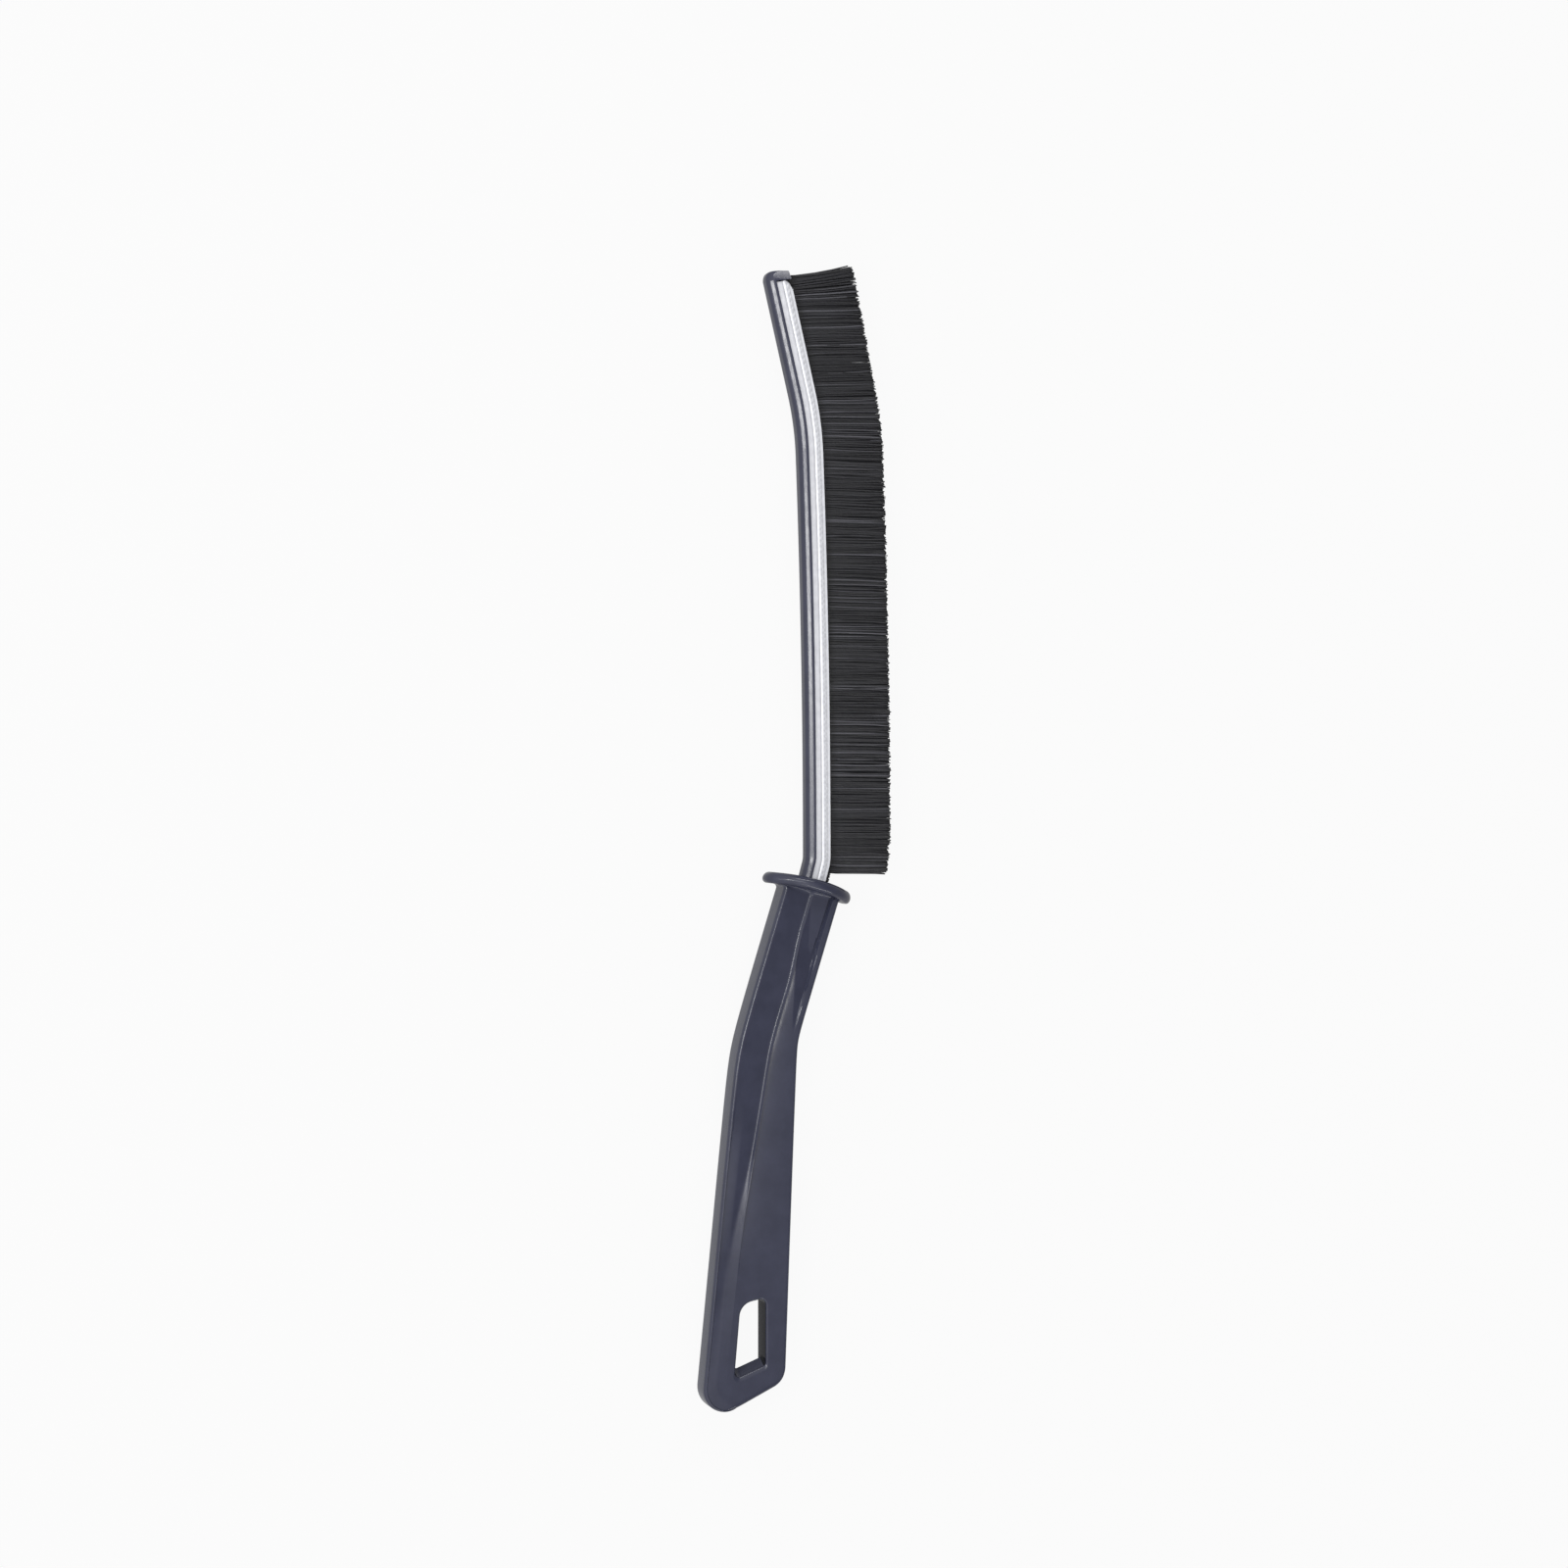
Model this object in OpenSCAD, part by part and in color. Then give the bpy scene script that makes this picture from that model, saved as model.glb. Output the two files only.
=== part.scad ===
// Crevice brush: one moulded handle, with an arched guard and a slim cranked spine, that
// carries a folded metal strip of doubled filaments held by a core wire.
// XY is the drawing plane: +Y runs to the tip, +X to the bristle ends, Z is the thickness.
// Everything is drawn about the middle of the guard and is seated on Z = 0 by seat().

/* [Guard] */
// Length of the oval guard, from its back end to its front end
guard_w = 19.4; // [18:0.1:24]
// Depth of the guard, through the thickness
guard_d = 13.6; // [12:0.1:18]
// Thickness of the guard plate
guard_t = 2.4; // [1.6:0.1:3]
// Rise of the guard's middle above its two ends
guard_arch = 1; // [0:0.1:1.6]
// Lean of the guard's axis towards the bristles
guard_lean = 15; // [6:0.5:18]
// Fillet where the grip runs into the guard
neck_r = 1.1; // [0.6:0.1:1.8]

/* [Grip] */
// Width of the grip below the guard, square to its lean
grip_w = 12.4; // [11.5:0.1:14]
// Thickness of the grip below the guard
grip_t = 6.6; // [6.4:0.1:9]
// Sideways step from the guard's middle to the grip's, towards the bristles
grip_shift = 0.6; // [-0.5:0.1:1]
// Lean of both edges of the upper grip
grip_lean = 17.4; // [10:0.1:22]
// Distance from the guard to the front corner of the butt
grip_len = 102.9; // [90:0.1:120]
// Distance from the guard to the bend in the back edge
back_bend = 33.9; // [28:0.1:42]
// Distance from the guard to the bend in the front edge
front_bend = 32.5; // [28:0.1:42]
// Softness of the long bend in the back edge
back_soft = 5; // [1:0.5:10]
// Softness of the short bend in the front edge
front_soft = 2; // [0.5:0.5:6]
// Lean of the back edge below its bend
back_lean = 5.6; // [2:0.1:9]
// Lean of the front edge below its bend
front_lean = 2.1; // [0:0.1:5]
// Radius of the long edges
edge_r = 1; // [0.8:0.1:1.6]

/* [Grip face] */
// Distance of the ridge from the back edge, below the guard
ridge_in = 6.6; // [5.8:0.1:7.4]
// Distance of the ridge from the back edge where it fades out
ridge_in_end = 4.7; // [4.5:0.1:7]
// Height of the ridge
ridge_h = 0.25; // [0:0.05:0.5]
// Distance from the guard to where the ridge fades out
ridge_end = 76; // [60:1:80]
// Depth of the flute between the back edge and the ridge
flute_depth = 0.4; // [0.1:0.05:0.6]
// Distance of the flute's bed from the ridge, below the guard
flute_gap = 0.8; // [0.7:0.1:1.6]
// Distance of the flute's bed from the ridge where it fades out
flute_gap_end = 2.2; // [1.2:0.1:2.4]
// Drop from the ridge to the thumb pad beside it
pad_drop = 0.45; // [0:0.05:0.6]
// Depth of the pocket beside the ridge, below the guard
pocket_depth = 0.6; // [0:0.05:0.8]
// Width of the pocket at the guard
pocket_w = 5.2; // [3:0.1:5.6]
// Width of the pocket at its rounded end
pocket_end_w = 1.2; // [1:0.1:3]
// Distance from the guard to the pocket's rounded end
pocket_end = 28; // [20:0.5:32]

/* [Butt] */
// Thickness of the flat butt
butt_t = 6; // [4.6:0.1:6.5]
// Distance from the guard to where the faces become flat
flat_from = 80; // [70:0.5:84]
// Slant of the butt's end
butt_slant = 25.5; // [15:0.5:32]
// Radius of the butt's back corner
butt_back_r = 4.75; // [3:0.05:5.5]
// Radius of the butt's front corner
butt_front_r = 5; // [3:0.1:6.5]

/* [Hanging hole] */
// Width of the hole at its upper end
hole_w = 5.4; // [4.6:0.1:6]
// Height of the hole along its front side
hole_h = 13.5; // [12:0.1:17]
// Wall between the hole and the front edge, at the hole's upper end
hole_wall = 5; // [4.4:0.1:6.2]
// Wall between the hole's front lower corner and the butt's front corner
hole_floor = 4; // [2:0.1:6]
// Slant of the hole's lower side
hole_slant = 21; // [10:0.5:26]
// Radius of the hole's upper back corner
hole_big_r = 3.2; // [2:0.1:3.3]
// Radius of the hole's upper front corner
hole_front_r = 1.2; // [0.6:0.1:1.3]
// Radius of the hole's two lower corners
hole_low_r = 0.9; // [0.4:0.1:1.5]
// Rounding of the hole's edges on both faces
hole_lip = 0.5; // [0.3:0.1:1.2]

/* [Head] */
// Distance of the strip's mouth from the guard's middle
mouth_at = 3.1; // [2.6:0.1:3.6]
// Length of the straight neck above the guard's middle
neck_len = 4.3; // [3.6:0.1:6]
// Radius of the neck bend, at the mouth
neck_bend_r = 10; // [8:0.5:14]
// Length of the long stretch, along the mouth
reach_len = 83.7; // [60:0.1:110]
// Turn of the long stretch from end to end, a slight bow
reach_turn = 2.2; // [0.5:0.1:4]
// Radius of the upper bend, at the mouth
crank_r = 70; // [20:1:90]
// Turn of the upper bend
crank_turn = 11; // [5:0.5:16]
// Length of the straight tip, along the mouth
tip_len = 25; // [18:0.1:40]
// Thickness of the spine's wall on each side of the strip
side_wall = 0.4; // [0.3:0.05:0.7]
// Thickness of the spine's wall behind the strip
slot_wall = 0.95; // [0.8:0.05:1.2]
// Depth of the spine's side walls
spine_depth = 1.85; // [1.8:0.05:2.2]
// Radius of the spine's two back edges
spine_r = 1.7; // [0.4:0.05:1.75]
// Thickness of the wall that closes the slot at the tip
end_wall = 0.5; // [0.4:0.1:1.5]
// Slant of the spine's tip, so that it stands level
tip_slant = 11; // [0:0.5:14]
// Radius of the tip's back corner
tip_r = 2; // [0.8:0.1:2.4]

/* [Metal strip] */
// Thickness of the folded strip
strip_t = 3.9; // [3.7:0.05:4.2]
// Height of the folded strip
strip_h = 4.15; // [3.9:0.05:4.6]
// Thickness of its sheet
sheet_t = 0.5; // [0.4:0.05:0.6]
// Outer radius of the fold
fold_r = 0.9; // [0.7:0.05:1.2]
// How far each leg is pressed in at the mouth
crimp_in = 0.15; // [0:0.05:0.2]
// Distance of the pressed groove from the mouth
groove_at = 1.95; // [1.7:0.05:2.2]
// Depth of the pressed groove
groove_depth = 0.18; // [0:0.02:0.22]
// Length of the bare tang inside the handle
tang_len = 18; // [8:0.5:24]
// Diameter of the core wire
wire_d = 1.7; // [1.2:0.05:1.8]
// Clearance between pieces that seat in each other
seat_gap = 0.05; // [0.03:0.01:0.08]

/* [Bristles] */
// Free length of the bristles
bristle_len = 13.6; // [8:0.1:18]
// Length to which the lowest bristles are trimmed, beside the guard
stub_len = 0.6; // [0.3:0.1:1]
// Height of the root that shows at the mouth
root_h = 0.35; // [0.2:0.05:0.6]
// Strands along the head
cols = 140; // [120:1:150]
// Strands across the head
rows = 3; // [2:1:3]
// Trimmed strands along the head, beside the guard
stub_cols = 2; // [1:1:3]
// Width of a strand, as a share of its place in the root
strand_fill = 0.78; // [0.6:0.02:0.84]
// Width of a strand's end, as a share of its root
strand_taper = 0.68; // [0.5:0.02:0.8]
// Uneven length of the bristles
ragged = 0.35; // [0:0.05:0.8]
// Extra length of the last bristles, at the tip
tip_grow = 0.8; // [0:0.1:1.5]
// How far the last bristles fan out at the tip, in degrees
splay_turn = 9.5; // [0:0.5:11]

/* [Hidden] */

handle_colour = [0.27, 0.28, 0.35];
strip_colour = [0.87, 0.87, 0.89];
wire_colour = [0.6, 0.6, 0.62];
bristle_colour = [0.15, 0.15, 0.17];

function smooth(x) = let (t = min(max(x, 0), 1)) t * t * (3 - 2 * t);
function mix(a, b, t) = a + (b - a) * t;
function bump(x, width) = exp(-pow(x / width, 2));
function reversed(list) = [for (i = [len(list) - 1:-1:0]) list[i]];
function mirrored(sections) = [for (s = sections) [for (p = s) [p.x, p.y, -p.z]]];

// The guard's own axes: up is its axis, across runs along the plate.
up = [sin(guard_lean), cos(guard_lean)];
across = [cos(guard_lean), -sin(guard_lean)];

// Outline of the grip: each edge is two straight runs with a soft bend between them.
function soft_bend(v, u0, v0, above, below, soft) =
    u0 + (above + below) / 2 * (v - v0) + (above - below) / 2 * norm([v - v0, soft]);
half_span = grip_w / 2 / cos(grip_lean);
back_root = grip_shift - half_span;
front_root = grip_shift + half_span;
function back_u(v) = soft_bend(v, back_root - tan(grip_lean) * back_bend, -back_bend,
    tan(grip_lean), tan(back_lean), back_soft);
function front_u(v) = soft_bend(v, front_root - tan(grip_lean) * front_bend, -front_bend,
    tan(grip_lean), tan(front_lean), front_soft);

// The butt's two corners before rounding, and how fast each edge nears its slanted end.
front_corner = [front_u(-grip_len), -grip_len];
back_corner_v = let (m = tan(back_lean), k = tan(butt_slant), u = back_u(-grip_len))
    -grip_len + k * (u - front_corner.x) / (1 - k * m);
back_rate = 1 / (cos(butt_slant) * (1 - tan(butt_slant) * tan(back_lean)));
front_rate = 1 / (cos(butt_slant) * (1 - tan(butt_slant) * tan(front_lean)));
butt_zone = 12;

// How far a rounded corner of angle a draws an edge in, at distance d from the slanted end.
function corner_in(d, r, a) = d >= r * (1 + cos(a)) ? 0
    : r / tan(a / 2) - sqrt(max(0, r * r - pow(r - d, 2))) - d / tan(a);

// Two ends of a section of the grip, as points of the drawing plane.
function ends_at(vb, vf) = [[back_u(vb), vb], [front_u(vf), vf]];
neck_w = -guard_t / 2 - neck_r;
function meets_neck(root) = (neck_w - root * sin(guard_lean))
    / (cos(guard_lean) + tan(grip_lean) * sin(guard_lean));
function grip_ends(t) = ends_at(
    mix(meets_neck(back_root), back_corner_v + back_rate * butt_zone, t),
    mix(meets_neck(front_root), -grip_len + front_rate * butt_zone, t));
function butt_ends(d) = let (
    e = ends_at(back_corner_v + back_rate * d, -grip_len + front_rate * d),
    dir = (e[1] - e[0]) / norm(e[1] - e[0]))
    [e[0] + dir * corner_in(d, butt_back_r, 90 - back_lean - butt_slant),
     e[1] - dir * corner_in(d, butt_front_r, 90 + front_lean + butt_slant)];

// Half thickness at a distance g from the guard, and at a distance d from the slanted end.
taper_from = 10;
function half_t(g) = mix(grip_t, butt_t, smooth((g - taper_from) / (flat_from - taper_from))) / 2;
function end_half_t(d) = butt_t / 2 - edge_r
    + sqrt(edge_r * edge_r - pow(max(0, edge_r - d), 2));

// Relief of the grip's face: ridge, flute, thumb pad, and a pocket with a tongue in it.
ridge_from = 8;
ridge_w = 0.5;
ridge_limit = 0.62;
ridge_swing = 0.9;
flute_soft = 0.2;
flute_from = 62;
flute_run = 38;
fade_run = 14;
pocket_rim = 1;
pocket_low = 0.8;
pocket_run = 1.5;
tongue_end = 14;
tongue_run = 2;
tongue_share = 0.25;
function ridge_fade(g) = smooth((g - front_bend) / (ridge_end - front_bend));
function ridge_q(g, w) = min(ridge_limit * w, mix(ridge_in, ridge_in_end, ridge_fade(g))
    - ridge_swing * (1 - smooth((g - ridge_from) / fade_run)));
function gap_at(g) = mix(flute_gap, flute_gap_end, ridge_fade(g));
function along(g, from, to) = smooth((g - from) / fade_run) * (1 - smooth((g - to) / fade_run + 1));

// The flute falls evenly from the back edge to its bed and rises to the ridge.
function flute(q, qr, g) = let (
    gap = gap_at(g),
    x = q - qr + gap,
    fall = 1 / max(flute_soft, qr - gap - edge_r),
    rise = 1 / gap)
    flute_depth * (1 - smooth((g - flute_from) / flute_run))
        * max(0, 1 - ((rise - fall) * x + (rise + fall) * norm([x, flute_soft * gap])) / 2);
function pad(q, qr, w, g) = q < qr ? 0 : pad_drop * along(g, ridge_from, flat_from)
    * smooth((q - qr) / ridge_w) * pow(1 - min(1, (q - qr) / (w - edge_r - qr)), 2);
function pocket(q, w, g) = let (
    width = mix(pocket_w, pocket_end_w, smooth(g / pocket_end)),
    x = (q - w + pocket_rim + width) / width,
    floor_share = max(0, min(x / pocket_low, (1 - x) / (1 - pocket_low))),
    end = smooth((g - pocket_end) / pocket_run / width + 1),
    tongue = bump(x - 0.5, tongue_share) * (1 - smooth((g - tongue_end) / tongue_run + 1)))
    pocket_depth * floor_share * (1 - end) * (1 - tongue);
function relief(q, w, g) = let (qr = ridge_q(g, w))
    ridge_h * along(g, ridge_from, ridge_end) * bump(q - qr, ridge_w)
    - flute(q, qr, g) - pad(q, qr, w, g) - pocket(q, w, g);

// Upper half of one section, from the back edge to the front edge: [distance, height].
edge_steps = 4;
face_steps = 6;
function face_stations(w, r, qr, k, gap) = concat(
    [for (i = [1:3]) mix(r, qr - k * gap, i / 3)],
    [for (i = [-1:2]) qr + i * k * ridge_w],
    [for (i = [1:face_steps]) mix(qr + 2 * k * ridge_w, w - r, i / (face_steps + 1))]);
function half_section(w, h, g) = let (
    r = min(edge_r, 0.9 * h),
    qr = ridge_q(g, w),
    k = min(1, w / grip_w))
    concat(
        [for (i = [0:edge_steps]) let (a = 90 * i / edge_steps) [r - r * cos(a), h - r + r * sin(a)]],
        [for (q = face_stations(w, r, qr, k, gap_at(g))) [q, h + relief(q, w, g)]],
        [for (i = [edge_steps:-1:0]) let (a = 90 * i / edge_steps)
            [w - r + r * cos(a), h - r + r * sin(a)]]);
half_n = len(half_section(grip_w, grip_t / 2, 0));

// A section in space, upper half only: the lower half mirrors it.
function placed(ends, h, g) = let (w = norm(ends[1] - ends[0]), dir = (ends[1] - ends[0]) / w)
    [for (p = half_section(w, h, g)) let (c = ends[0] + dir * p[0]) [c.x, c.y, p[1]]];
function depth_of(ends) = -(ends[0].y + ends[1].y) / 2;

// Sections of the guard: each blends from the neck's section to the oval rim.
neck_half = placed(grip_ends(0), half_t(0), 0);
guard_gap = min(guard_w - grip_w, guard_d - grip_t) / 2;
rim_share = min(0.48, guard_t / 2 / guard_gap);
fillet_share = min(0.48, neck_r / guard_gap);
function guard_half(share, w, arch) = [for (i = [0:half_n - 1]) let (
    a = 180 * (1 - (i + 0.5) / half_n),
    inner = [across * [neck_half[i].x, neck_half[i].y], neck_half[i].z],
    p = mix(inner, [guard_w / 2 * cos(a), guard_d / 2 * sin(a)], share),
    lift = w - arch * guard_arch * pow(p[0] / (guard_w / 2), 2),
    c = across * p[0] + up * lift)
    [c.x, c.y, p[1]]];

grip_steps = 42;
butt_steps = 10;
sections = concat(
    [for (a = [90:-30:-90]) guard_half(1 - rim_share * (1 - cos(a)), guard_t / 2 * sin(a), 1)],
    [for (a = [90:-30:30]) guard_half(fillet_share * (1 - cos(a)),
        -guard_t / 2 - neck_r * (1 - sin(a)), sin(a))],
    [for (i = [0:grip_steps - 1]) let (e = grip_ends(i / grip_steps))
        placed(e, half_t(depth_of(e)), depth_of(e))],
    [for (i = [0:butt_steps]) let (
        d = butt_zone * (1 - sin(90 * i / butt_steps)),
        e = butt_ends(d))
        placed(e, end_half_t(d), depth_of(e))]);

// The head's line follows the strip's mouth. A frame is [x, y, heading].
function go(f, run) = [f[0] - run * sin(f[2]), f[1] + run * cos(f[2]), f[2]];
function turn(f, r, a) = [f[0] + r * (cos(f[2] + a) - cos(f[2])),
    f[1] + r * (sin(f[2] + a) - sin(f[2])), f[2] + a];
function arc_len(r, a) = r * a * PI / 180;
function arc_turn(r, length) = length / r * 180 / PI;
guard_frame = [mouth_at * across.x, mouth_at * across.y, -guard_lean];
neck_frame = go(guard_frame, neck_len);
reach_frame = turn(neck_frame, neck_bend_r, guard_lean);
reach_r = reach_len / reach_turn * 180 / PI;
crank_frame = turn(reach_frame, reach_r, reach_turn);
tip_frame = turn(crank_frame, crank_r, crank_turn);
s_reach = neck_len + arc_len(neck_bend_r, guard_lean);
s_crank = s_reach + reach_len;
s_tip = s_crank + arc_len(crank_r, crank_turn);
function head_frame(s) =
    s < neck_len ? go(guard_frame, s)
    : s < s_reach ? turn(neck_frame, neck_bend_r, arc_turn(neck_bend_r, s - neck_len))
    : s < s_crank ? turn(reach_frame, reach_r, arc_turn(reach_r, s - s_reach))
    : s < s_tip ? turn(crank_frame, crank_r, arc_turn(crank_r, s - s_crank))
    : go(tip_frame, s - s_tip);

// Sizes across the head, measured from the mouth towards the back.
spine_t = strip_t + 2 * (seat_gap + side_wall);
head_depth = strip_h + seat_gap + slot_wall;
wire_x = -strip_h + sheet_t + seat_gap + wire_d / 2;
fill_x = wire_x + wire_d / 2 + seat_gap;
fill_w = strip_t - 2 * (sheet_t + max(crimp_in, groove_depth) + seat_gap);

// Places of the strands, shared by the three lengths of bristle.
fill_lift = 0.15;
fill_from = guard_t / 2 + fill_lift;
fill_to = s_tip + tip_len - end_wall - seat_gap;
pitch = (fill_to - fill_from) / cols;
row_w = fill_w / rows;
function random_list(seed) = rands(-1, 1, cols * rows, seed);
random_len = random_list(11);
random_lean = random_list(23);
random_side = random_list(37);
function at(list, c, r) = list[c * rows + r];
function root_point(s, x, z) = let (f = head_frame(s))
    [f[0] + x * cos(f[2]), f[1] + x * sin(f[2]), z];
wave_share = 0.3;
wave_turn = 33;
grow_cols = 33;
function strand_len(c, r) = c < stub_cols ? stub_len
    : bristle_len - root_h + tip_grow * smooth(1 - (cols - c) / grow_cols)
        + ragged * mix(at(random_len, c, r), sin(c * wave_turn), wave_share);
follow = 0.3;
droop = 0.6;
splay_cols = 8;
function strand_dir(c) = let (
    f = head_frame(fill_from + (c + 0.5) * pitch),
    splay = max(0, c + 1 - cols + splay_cols) / splay_cols)
    follow * max(f[2], 0) - droop + splay * splay_turn;
function strand_ring(c, r, size, x) = let (
    s = fill_from + (c + 0.5) * pitch,
    half = pitch * size / 2,
    z = (r + 0.5 - rows / 2) * row_w,
    half_z = row_w * size / 2)
    [for (k = [[-1, -1], [-1, 1], [1, 1], [1, -1]])
        root_point(s + k[0] * half, x, z + k[1] * half_z)];
wander = 0.85;
function strand_end(c, r) = let (
    a = strand_dir(c),
    run = strand_len(c, r),
    free = c < stub_cols ? 0 : wander * (1 - strand_fill * strand_taper) / 2,
    lean = free * pitch * at(random_lean, c, r),
    side = free * row_w * at(random_side, c, r),
    move = [run * cos(a) - lean * sin(a), run * sin(a) + lean * cos(a), side])
    [for (p = strand_ring(c, r, strand_fill * strand_taper, root_h)) p + move];

// Columns of each length of bristle.
length_share = 0.36;
heel_to = round(cols * length_share);
middle_to = round(cols * 2 * length_share);

// The model's box, for the seat: its origin is the middle of the underside.
grip_points = [for (s = sections) for (p = s) p];
tip_points = [for (c = [stub_cols:cols - 1]) for (r = [0:rows - 1]) for (p = strand_end(c, r)) p];
low_x = min([for (p = grip_points) p.x]);
high_x = max([for (p = tip_points) p.x]);
low_y = min([for (p = grip_points) p.y]);
high_y = max([for (p = tip_points) p.y]);

module seat() translate([-(low_x + high_x) / 2, -(low_y + high_y) / 2, guard_d / 2]) children();

// A solid skinned over sections, with a ladder of faces over each end. Each section is two
// lists of points that face each other, and the sections follow one another downwards.
module skinned(uppers, lowers) {
    n = len(uppers[0]);
    m = 2 * n;
    last = (len(uppers) - 1) * m;
    points = [for (k = [0:len(uppers) - 1]) each concat(uppers[k], reversed(lowers[k]))];
    walls = [for (k = [0:len(uppers) - 2]) for (j = [0:m - 1])
        let (a = k * m + j, b = k * m + (j + 1) % m) each [[a, b, b + m], [a, b + m, a + m]]];
    first_end = [for (i = [0:n - 2]) each [[i, m - 1 - i, m - 2 - i], [i, m - 2 - i, i + 1]]];
    last_end = [for (i = [0:n - 2]) each [[last + i, last + m - 2 - i, last + m - 1 - i],
        [last + i, last + i + 1, last + m - 2 - i]]];
    polyhedron(points, concat(walls, first_end, last_end), convexity = 8);
}

// A closed outline whose corners are rounded, each by its own radius, and moved outwards.
corner_steps = 8;
function rounded(points, radii, grown = 0) = [for (i = [0:len(points) - 1]) let (
    p = points[i],
    a = points[(i + len(points) - 1) % len(points)] - p,
    b = points[(i + 1) % len(points)] - p,
    ua = a / norm(a),
    ub = b / norm(b),
    half = acos(ua * ub) / 2,
    centre = p + (ua + ub) / norm(ua + ub) * radii[i] / sin(half),
    from = p + ua * radii[i] / tan(half) - centre,
    to = p + ub * radii[i] / tan(half) - centre,
    a0 = atan2(from.y, from.x),
    sweep = (atan2(to.y, to.x) - a0 + 540) % 360 - 180)
    each [for (k = [0:corner_steps]) centre + (radii[i] + grown)
        * [cos(a0 + sweep * k / corner_steps), sin(a0 + sweep * k / corner_steps)]]];

// The hanging hole: its sides run with the grip's edges, its floor with the butt's end.
function hole_outline(grown) = let (
    low = -grip_len + hole_floor,
    high = low + hole_h,
    front = front_u(high) - hole_wall,
    back = front - hole_w)
    rounded([
        [front, low],
        [front, high],
        [back, high - hole_w * tan(hole_slant) / 2],
        [back - tan(back_lean) * hole_h, low - (hole_w + tan(back_lean) * hole_h) * tan(hole_slant)]],
        [hole_low_r, hole_front_r, hole_big_r, hole_low_r], grown);
lip_steps = 4;
hole_rings = let (lip = [for (i = [0:lip_steps]) let (a = 90 * i / lip_steps)
    [hole_lip * (1 - sin(a)), butt_t / 2 - hole_lip * (1 - cos(a))]],
    half = concat([[hole_lip, butt_t / 2 + hole_lip]], lip))
    [for (p = concat(half, reversed([for (q = half) [q[0], -q[1]]])))
        [for (c = hole_outline(p[0])) [c.x, c.y, p[1]]]];
module hanging_hole() {
    n = len(hole_rings[0]);
    last = (len(hole_rings) - 1) * n;
    walls = [for (k = [0:len(hole_rings) - 2]) for (j = [0:n - 1])
        let (a = k * n + j, b = k * n + (j + 1) % n) each [[a, b + n, a + n], [a, b, b + n]]];
    ends = [for (i = [1:n - 2]) each [[0, i + 1, i], [last, last + i, last + i + 1]]];
    polyhedron([for (ring = hole_rings) each ring], concat(walls, ends));
}

// Places along the head, from the tip down: the bends take a few each and the runs none.
bend_steps = 5;
function steps_back(to, from) = [for (i = [0:bend_steps]) mix(to, from, i / bend_steps)];
function places(top, low) = concat([top], steps_back(s_tip, s_crank),
    [for (s = steps_back(s_crank, s_reach)) if (s < s_crank && s > s_reach) s],
    steps_back(s_reach, neck_len), [low]);
function swept(profile, top, low) =
    [for (s = places(top, low)) [for (p = profile) root_point(s, p[0], p[1])]];

// Quarter round of a profile's back corner, as points from the back face to the side.
function back_round(x, z, r, steps) = [for (i = [0:steps]) let (a = 90 * i / steps)
    [x + r - r * cos(a), z - r + r * sin(a)]];

// The moulded spine. Its tip stands level, with a round back corner and a full end wall.
spine_steps = 4;
s_end = s_tip + tip_len;
side_keep = 0.05;
function spine_half(front, inset) = let (r = min(spine_r, front + head_depth - inset - side_keep))
    concat(back_round(inset - head_depth, spine_t / 2, r, spine_steps), [[front, spine_t / 2]]);
function spine_tip(rise) = let (
    s = s_end - rise,
    inset = tip_r - sqrt(max(0, tip_r * tip_r - pow(max(0, tip_r - rise), 2))))
    [for (p = spine_half(rise > end_wall ? spine_depth - head_depth : 0, inset))
        root_point(s - tan(tip_slant) * p[0] * smooth(1 - rise / head_depth), p[0], p[1])];
module spine() {
    tip = [for (a = [0:15:75]) spine_tip(tip_r * (1 - cos(a)))];
    walls = concat(tip, swept(spine_half(spine_depth - head_depth, 0), s_end - tip_r - end_wall, 0));
    skinned(walls, mirrored(walls));
}

// The room that the metal strip takes up, with its clearance.
module strip_room() {
    half = concat(
        back_round(-strip_h - seat_gap, strip_t / 2 + seat_gap, fold_r + seat_gap, spine_steps),
        [[seat_gap, strip_t / 2 + seat_gap]]);
    walls = swept(half, s_end - end_wall, -tang_len);
    skinned(walls, mirrored(walls));
}

module handle() seat() color(handle_colour) difference() {
    union() {
        skinned(sections, mirrored(sections));
        spine();
    }
    strip_room();
    hanging_hole();
}

// The strip is sheet folded over: half its middle line runs from the fold to the mouth.
lip_len = 0.5;
groove_w = 0.7;
strip_line = let (
    z = (strip_t - sheet_t) / 2,
    half = concat(
        [for (i = [1:spine_steps]) let (a = 90 * i / spine_steps, r = fold_r - sheet_t / 2)
            [fold_r - strip_h - r * cos(a), strip_t / 2 - fold_r + r * sin(a)]],
        [[-groove_at - groove_w / 2, z], [-groove_at, z - groove_depth],
            [-groove_at + groove_w / 2, z], [-2 * lip_len, z], [-lip_len, z - crimp_in],
            [0, z - crimp_in]]),
    corner = [sheet_t / 2 - strip_h, strip_t / 2 - fold_r])
    concat(reversed([for (p = concat([corner], half)) [p[0], -p[1]]]), [corner], half);

// A line's points moved sideways by t, square to the line on each side of the point.
function moved_aside(line, t) = [for (i = [0:len(line) - 1]) let (
    before = line[max(i, 1)] - line[max(i, 1) - 1],
    after = line[min(i, len(line) - 2) + 1] - line[min(i, len(line) - 2)],
    na = [-before.y, before.x] / norm(before),
    nb = [-after.y, after.x] / norm(after))
    line[i] + t * (na + nb) / (1 + na * nb)];

// A piece that fills the strip's length, clear of the socket's floor and the end wall.
strip_top = s_end - end_wall - seat_gap;
strip_low = seat_gap - tang_len;

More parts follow.
